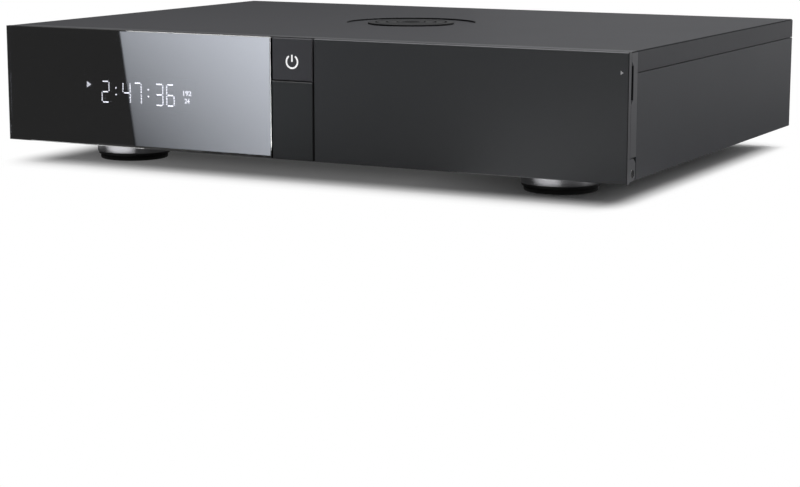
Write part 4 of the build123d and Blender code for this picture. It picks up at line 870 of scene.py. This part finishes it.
# %% Dress the other nodes
DRESS = [
    (top_finish, 0.15, "top_cover"),
    (side_finish, 0.15, "chassis_tray"),
    (sheet_steel, 0.1, "cover_rails"),
    (rear_paint, 0.1, "rear_panel"),
    (screw_black, 0.08, "rear_screws"),
    (frame_finish_and_painted_highlight, 0.15, "front_frame"),
    (screw_black, 0.08, "frame_screws"),
    (black_plate, 0.05, "window_backplate"),
    (display_face, 0.05, "display_module"),
    (circuit_board, 0.05, "display_board"),
    (flat_cable, 0, "display_ribbon"),
    (latch_grey, 0.05, "key_retainer"),
    (spring_steel, 0, "key_spring"),
    (black_plastic, 0.1, "key_switch"),
    (circuit_board, 0.05, "key_board"),
    (latch_grey, 0.1, "key_spacers"),
    (frame_finish_and_painted_highlight, 0.12, "hinge_arm_left", "hinge_arm_right"),
    (pin_steel, 0.15, "hinge_pins"),
    (bright_nickel, 0.1, "door_magnets"),
    (pin_steel, 0.1, "catch_plates"),
    (sheet_steel, 0.1, "drive_cage"),
    (black_plastic, 0.15, "tray_runners"),
    (tray_paint, 0.15, "drive_tray_lower", "drive_tray_upper"),
    (latch_grey, 0.1, "tray_latch_lower", "tray_latch_upper"),
    (drive_case, 0.15, "hard_drive_lower", "hard_drive_upper"),
    (circuit_board, 0.05, "drive_backplane", "main_board", "power_board"),
    (bright_nickel, 0.1, "board_standoffs"),
    (black_plastic, 0.1, "processor"),
    (heatsink_black, 0.1, "processor_heatsink"),
    (tape_yellow, 0.25, "transformer"),
    (sleeve_blue, 0.4, "power_capacitors"),
    (black_plastic, 0.15, "fan_housing"),
    (black_plastic, 0.1, "fan_rotor"),
    (spring_steel, 0.15, "fan_guard"),
    (bright_nickel, 0.06, "network_socket", "usb_sockets", "hdmi_sockets"),
    (black_plastic, 0.1, "optical_socket"),
    (gold_plate, 0.1, "line_sockets", "antenna_posts"),
    (black_plastic, 0.1, "power_inlet", "switch_housing"),
    (black_plastic, 0.12, "switch_rocker"),
    (screw_black, 0.1, "foot_screws"),
]
dressed = {
    node: place(softened(node, width * MM), material, node)
    for material, width, *nodes in DRESS
    for node in nodes
}
print("dressed:", len(dressed))

# %% [markdown]
# The cover's sloping side edges and the wall of the round recess are painted black as painted shade,
# for the dark line along those edges and the shaded wall of the recess. The frame is painted black
# where the front plates hide it, as painted shade, so that the gaps between them look deep.

# %% Dark edges of the cover and the frame
def paint(node, material, test):
    """Paint the faces of a dressed node that pass a test, and print how many they are."""
    print(node, "in", material.name + ":", paint_faces(dressed[node], material, test))


recess_reach = 44 * MM
side_slopes = lambda face: slopes(face, 0, 2) and face.center.z > case_top - 1 * MM
in_recess = lambda face: (face.center - disc_centre).xy.length < recess_reach and abs(face.normal.z) < 0.3
for node in ("top_cover", "front_frame"):
    # Painted shade: the sloping side edges of the cover and the frame are painted black, for the dark line
    # along them.
    paint(node, black_and_painted_shade, side_slopes)
# Painted shade: the frame's front faces, seen only in the gaps between the front plates, are painted black.
paint("front_frame", black_plate, lambda face: face.normal.y < -0.9)
# Painted shade: the wall of the round recess is painted black.
paint("top_cover", black_and_painted_shade, in_recess)

# %% [markdown]
# The coil spring behind the key is the one piece that changes its shape. It stands against the frame's
# pocket. Here it only gets its own copy of its mesh.

# %% Key spring
spring = dressed["key_spring"]
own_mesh(spring)

# %% [markdown]
# Some of these nodes are made of two materials that were pressed or moulded together: capacitors have
# an aluminium top, the transformer's core is ferrite, and sockets have dark or coloured inserts. The
# faces of the second material are found by their place and get it as a second slot.

# %% Second materials
def inside(low, high):
    """A test for faces whose centre lies in a box."""
    slack = 1e-6
    return lambda face: all(low[i] - slack <= face.center[i] <= high[i] + slack for i in range(3))


def hollow(low, high):
    """A test for the faces inside a socket whose mouth is at the rear."""
    wall, lip = 0.5 * MM, 0.08 * MM
    return inside(Vector(low) + Vector((wall, wall, wall)), Vector(high) - Vector((wall, lip, wall)))


lid_edge, flange = 0.2 * MM, 4 * MM
can_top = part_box("power_capacitors")[1].z
paint("power_capacitors", bright_nickel, lambda face: face.center.z > can_top - lid_edge)
core_low, core_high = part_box("transformer")
core_low.x += flange - merge_distance
core_high.x -= flange - merge_distance
in_core = inside(core_low, core_high)
at_coil = lambda face: core_low.y + flange < face.center.y < core_high.y - flange
paint("transformer", ferrite, lambda face: in_core(face) and not at_coil(face))
for node in ("hard_drive_lower", "hard_drive_upper"):
    paint(node, sheet_steel, lambda face: face.normal.z > 0.9)

# %% [markdown]
# The rear sockets are the part of the back that people look into. A network socket is black inside with
# a row of gilded contacts, a USB socket has a coloured tongue, and the pins of the mains inlet are bare
# metal. The two line outputs get an insulating ring each, white for left and red for right. The ring is
# a new piece: it is turned about an upright axis like the feet and then laid on its side.

# %% Socket insides
def between(face, axis, low, high):
    """True for a face whose centre lies between two places along an axis."""
    return low <= face.center[axis] <= high


network_low, network_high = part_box("network_socket")
network_middle = (network_low.x + network_high.x) / 2
in_network = hollow(network_low, network_high)
paint("network_socket", socket_black, in_network)
contact_low, contact_high = network_low.z + 9.05 * MM, network_low.z + 9.95 * MM
contact_front, contact_back = network_low.y + 8.2 * MM, network_high.y - 2.9 * MM
contact_reach = 4.5 * MM
on_contact = lambda face: (
    in_network(face)
    and between(face, 2, contact_low, contact_high)
    and between(face, 1, contact_front, contact_back)
    and between(face, 0, network_middle - contact_reach, network_middle + contact_reach)
)
paint("network_socket", gold_plate, on_contact)

usb_low, usb_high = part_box("usb_sockets")
usb_middle = (usb_low.x + usb_high.x) / 2
in_usb = hollow(usb_low, usb_high)
paint("usb_sockets", socket_black, in_usb)
tongue_reach = 5.8 * MM
tongues = [(usb_low.z + (rise + 2.65) * MM, usb_low.z + (rise + 4.65) * MM) for rise in (1.4, 9.0)]
on_tongue = lambda face: (
    in_usb(face)
    and between(face, 0, usb_middle - tongue_reach, usb_middle + tongue_reach)
    and any(between(face, 2, low, high) for low, high in tongues)
)
paint("usb_sockets", tongue_blue, on_tongue)

hdmi_low, hdmi_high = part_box("hdmi_sockets")
hdmi_width = 16 * MM
first_hdmi = hollow(hdmi_low, (hdmi_low.x + hdmi_width, hdmi_high.y, hdmi_high.z))
last_hdmi = hollow((hdmi_high.x - hdmi_width, hdmi_low.y, hdmi_low.z), hdmi_high)
paint("hdmi_sockets", socket_black, lambda face: first_hdmi(face) or last_hdmi(face))
paint("optical_socket", latch_grey, hollow(*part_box("optical_socket")))

# %% Inlet pins, antenna nuts and line outputs
inlet_low, inlet_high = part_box("power_inlet")
inlet_middle = (inlet_low + inlet_high) / 2
pin_reach, pin_root, pin_tip = Vector((8.1, 0, 4.1)) * MM, 14.9 * MM, 4.9 * MM
pin_low, pin_high = inlet_middle - pin_reach, inlet_middle + pin_reach
pin_low.y, pin_high.y = inlet_high.y - pin_root, inlet_high.y - pin_tip
paint("power_inlet", bright_nickel, inside(pin_low, pin_high))
nut_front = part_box("antenna_posts")[1].y - 6.9 * MM
paint("antenna_posts", bright_nickel, lambda face: face.center.y < nut_front)
line_low, line_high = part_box("line_sockets")
shell_front = line_high.y - 9.6 * MM
paint("line_sockets", black_plastic, lambda face: face.center.y < shell_front)


def insulator(name, x, z, y, material):
    """A coloured ring in the mouth of a line output."""
    profile = [(1.9, 0.0), (3.05, 0.0), (3.2, 0.15), (3.2, 1.0), (1.9, 1.0)]
    ring = turned(name, 0, 0, in_metres(profile), sides=48)
    activate(ring)
    ring.rotation_euler = (quarter_turn, 0, 0)
    ring.location = (x, y, z)
    apply_place()
    smooth(ring)
    ring.data.materials.append(material)
    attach(ring, body_of("line_sockets"))
    return ring


mouth_inset = 6.5 * MM
line_z, ring_y = line_low.z + 7 * MM, line_high.y + 0.08 * MM
rings = [
    insulator("white_insulator", line_low.x + mouth_inset, line_z, ring_y, socket_white),
    insulator("red_insulator", line_high.x - mouth_inset, line_z, ring_y, socket_red),
]
print("rings:", [[round(v / MM, 2) for v in ring.dimensions] for ring in rings])

# %% [markdown]
# ## Floor, backdrop and light
# Where that shadow gives way to white is painted, at set places around the case, and a faint painted light
# lifts the shadow under the case, most towards its front and back and none at its right.
#
# The photograph is a plain studio picture: a white floor that runs into a white background, a large
# soft light overhead and a soft shadow under the case. The floor is white by its own colour. Far from
# the case it shows as pure white, and near the case it shows the light and the shadow that fall on it.
# Mirrors see it as an even grey, which keeps the metal plates as dark as they are in a real studio.

# %% Helpers for the studio
def bare_material(name):
    """A material with no shader yet, and its node tree."""
    material = bpy.data.materials.new(name)
    material.use_nodes = True
    material.node_tree.nodes.clear()
    return material, material.node_tree


def surface(tree, shader):
    """Make a shader the surface of its material."""
    add_node(tree, "OutputMaterial", {"Surface": shader.outputs[0]})


def mix_shaders(tree, factor, first, second):
    """Two shaders mixed by a factor."""
    return add_node(tree, "MixShader", {0: factor, 1: first.outputs[0], 2: second.outputs[0]})


def ray_kinds(tree):
    """One where the eye looks, also through glass, and one where a mirror looks."""
    rays = add_node(tree, "LightPath").outputs
    seen = math_node(tree, "MAXIMUM", rays["Is Camera Ray"], rays["Is Transmission Ray"])
    return seen, rays["Is Glossy Ray"]


print("studio helpers ready")


# %% Floor
def past(tree, value, edge, slope):
    """How far a value lies past an edge, times a slope, and nothing before it."""
    beyond = math_node(tree, "MULTIPLY", math_node(tree, "SUBTRACT", value, edge), slope)
    return math_node(tree, "MAXIMUM", beyond, 0.0)


def floor_whiteness(tree):
    """Zero under the case, rising to one around it, with a faint painted light in the shadow on the left."""
    x, y, _ = object_axes(tree)
    from_middle = math_node(tree, "ABSOLUTE", y)
    # Painted shadow edge: past these places the floor turns white, which sets how far the case's shadow
    # reaches.
    past_right = past(tree, x, 0.195, 40.0)
    past_left = past(tree, x, -0.186, -25.0)
    past_ends = past(tree, from_middle, 0.127, 16.7)
    away = diagonal(tree, past_ends, math_node(tree, "MAXIMUM", past_right, past_left))
    # Painted light: a faint lift of the shadow under the case, none at its right, more towards its front and
    # back.
    to_left = map_range(tree, x, 0.06, 0.16, 0.1, 0.0)
    to_ends = map_range(tree, from_middle, 0.085, 0.122, 0.55, 1.0)
    painted_lift = math_node(tree, "MULTIPLY", to_left, to_ends)
    return map_range(tree, away, low=painted_lift, kind="SMOOTHSTEP")


def make_floor_finish():
    """A floor that shows its shadow near the case, lifted a little by painted light, and pure white away from
    it.
    """
    material, tree = bare_material("studio_floor")
    seen, mirrored = ray_kinds(tree)
    painted = add_node(tree, "BsdfDiffuse", {"Color": (0.95, 0.95, 0.95, 1)})
    whiteness = math_node(tree, "MULTIPLY", floor_whiteness(tree), seen)
    to_the_eye = mix_shaders(tree, whiteness, painted, add_node(tree, "Emission"))
    grey = add_node(tree, "Emission", {"Strength": 0.24})
    surface(tree, mix_shaders(tree, mirrored, to_the_eye, grey))
    return material


deselect()
bpy.ops.mesh.primitive_plane_add(size=30, location=(0, 0, 0))
floor = named("floor")
floor.data.materials.append(make_floor_finish())
print("floor:", [round(v, 1) for v in floor.dimensions])

# %% [markdown]
# The glass is a mirror for whatever lies on the floor in front of it. In the photograph its left part
# mirrors something dark and the rest mirrors a bright sheet. Photographers do this with cards, so a
# black card and a bright card lie in front of the case. Smaller cards do the same for other pieces:
# bright ones light the feet, the cover and the thin lines along its edges, and dark ones stand for the
# shade that the plates mirror low down. Cards take part only in reflections.

# %% Card helpers
card_lift = 0.002


def card(name, corners, material):
    """A flat sheet that only mirrors can see."""
    deselect()
    bpy.ops.mesh.primitive_plane_add(size=1)
    piece = named(name)
    for vertex, corner in zip(piece.data.vertices, corners):
        vertex.co = corner
    piece.data.materials.append(material)
    piece.visible_camera = False
    piece.visible_diffuse = False
    piece.visible_shadow = False


def level_sheet(x, y, z=card_lift):
    """The corners of a level sheet."""
    return [(x[0], y[0], z), (x[1], y[0], z), (x[0], y[1], z), (x[1], y[1], z)]


def floor_sheet(near_x, near_y, far_x, far_y):
    """The corners of a sheet on the floor with a near edge and a far edge."""
    return [(x, y, card_lift) for x, y in zip((*near_x, *far_x), (*near_y, *far_y))]


def even_card(name, strength):
    """The finish of an evenly lit sheet."""
    material, tree = bare_material(name)
    surface(tree, add_node(tree, "Emission", {"Strength": strength}))
    return material


print("card helpers ready")


# %% Black and bright card
card_near, card_far, far_left = -0.24, -2.0, -2.5
meeting_slope, end_slope = 0.7275, 0.61


def near_and_far(slope, start):
    """Where a line that runs away from the case crosses the near and the far edge of the large cards."""
    return slope * card_near + start, slope * card_far + start


def graded_card(name):
    """The finish of a sheet that brightens away from the case and away from its dark neighbour."""
    material, tree = bare_material(name)
    x, y, _ = object_axes(tree)
    front, ahead_gain, beside_gain, spreading = 0.155, 3.8, 19.5, 0.9
    least, edge_blur, edge_dark = 0.45, 0.0014, 0.1
    ahead = math_node(tree, "MULTIPLY", y, -1.0)
    beside = math_node(tree, "MULTIPLY_ADD", ahead, meeting_slope, x)
    beyond = math_node(tree, "MULTIPLY", math_node(tree, "SUBTRACT", ahead, front), ahead_gain)
    both = math_node(tree, "MULTIPLY_ADD", beside, beside_gain, beyond)
    spread = math_node(tree, "DIVIDE", both, math_node(tree, "ADD", ahead, spreading))
    rise = map_range(tree, beside, -edge_blur, edge_blur, low=edge_dark, kind="SMOOTHSTEP")
    level = math_node(tree, "MULTIPLY", math_node(tree, "ADD", spread, least), rise)
    surface(tree, add_node(tree, "Emission", {"Color": (0.87, 0.915, 1.0, 1), "Strength": level}))
    return material


near_y, far_y = (card_near, card_near), (card_far, card_far)
near_meeting, far_meeting = near_and_far(meeting_slope, -0.0015)
near_end, far_end = near_and_far(end_slope, 0.09)
black_sheet = floor_sheet((far_left, near_meeting), near_y, (far_left, far_meeting), far_y)
bright_sheet = floor_sheet((near_meeting, near_end), near_y, (far_meeting, far_end), far_y)
card("black_card", black_sheet, even_card("black_card", 0.12))
card("bright_card", bright_sheet, graded_card("bright_card"))
print("the two large cards meet at x", round(near_meeting, 3), "and", round(far_meeting, 3))

# %% Smaller cards
front_line, foot_line, wall_y = -0.147, -0.22, 1.2
edge_sheet = floor_sheet((0.09, 0.95), (-0.21, -0.727), (0.09, 0.95), (-0.226, -0.757))
back_sheet = [(x, wall_y, z) for z in (0.0, 0.3) for x in (-0.53, 1.0)]
CARDS = [
    ("left_foot_card", level_sheet((-0.207, -0.118), (front_line, foot_line)), 2.0),
    ("right_foot_card", level_sheet((0.105, 0.175), (front_line, foot_line)), 1.3),
    ("front_shade_card", level_sheet((-0.118, 0.105), (front_line, card_near)), 0.12),
    ("left_shade_card", level_sheet((far_left, -0.207), (front_line, card_near)), 0.12),
    ("side_foot_card", level_sheet((0.208, 0.25), (-0.118, -0.09)), 0.9),
    ("shade_card", level_sheet((-0.2, 0.195), (-0.146, 0.15)), 0.05),
    ("edge_card", edge_sheet, 10.0),
    ("high_card", level_sheet((-0.98, -0.1), (-0.6, 0.1), 1.3), 4.0),
    ("back_card", back_sheet, 0.9),
    ("side_shade_card", level_sheet((0.225, 0.34), (-0.1, 0.36)), 0.0),
]
for name, corners, strength in CARDS:
    card(name, corners, even_card(name, strength))
print("smaller cards:", len(CARDS))

# %% [markdown]
# Two soft lamps light the case itself: a large one overhead gives the cover its even grey, and a weak
# one at the right lifts the side. The world adds an even fill and the white behind the floor.

# %% Lamps
def soft_lamp(name, spot, aim, size, power):
    """A large square lamp aimed at a point."""
    deselect()
    bpy.ops.object.light_add(type="AREA", location=spot)
    lamp = named(name)
    lamp.data.size = size
    lamp.data.energy = power
    direction = Vector(aim) - Vector(spot)
    lamp.rotation_euler = direction.to_track_quat("-Z", "Y").to_euler()
    return lamp


overhead = soft_lamp("overhead", spot=(0.3, 0.1, 1.3), aim=(0.05, 0.0, 0.0), size=0.7, power=14.5)
right_fill = soft_lamp("right_fill", spot=(1.3, 0.55, 0.7), aim=(0.2, 0.05, 0.05), size=0.9, power=4.0)
print("lamps:", overhead.data.energy, right_fill.data.energy)


# %% World
def make_world(fill, in_mirrors):
    """White to the eye and through glass, dimmer as a fill light and dark in mirrors."""
    world = bpy.data.worlds.new("studio")
    bpy.context.scene.world = world
    world.use_nodes = True
    tree = world.node_tree
    seen, mirrored = ray_kinds(tree)
    level = math_node(tree, "MULTIPLY_ADD", seen, 1 - fill, fill)
    level = math_node(tree, "MULTIPLY_ADD", mirrored, in_mirrors - fill, level)
    set_inputs(tree, tree.nodes["Background"], {"Color": (1, 1, 1, 1), "Strength": level})
    return world


print("made the world", make_world(fill=0.35, in_mirrors=0.12).name)

# %% [markdown]
# ## Camera
#
# The camera stands low in front of the right corner, as the photographer's did. Its place, angles and
# focal length come from a fit of the case's edges to the picture. A long lens keeps the far edges
# almost parallel to the near ones.

# %% Camera
camera_place = (0.6239, -1.2048, 0.1832)
camera_degrees = (79.752, -0.057, 27.721)
deselect()
bpy.ops.object.camera_add(location=camera_place, rotation=[math.radians(angle) for angle in camera_degrees])
camera = bpy.context.object
camera.data.sensor_width = 36
camera.data.lens = 91.61
bpy.context.scene.camera = camera
bpy.context.scene.view_settings.view_transform = "Standard"
print("camera:", [round(v, 3) for v in camera.location], camera.data.lens)
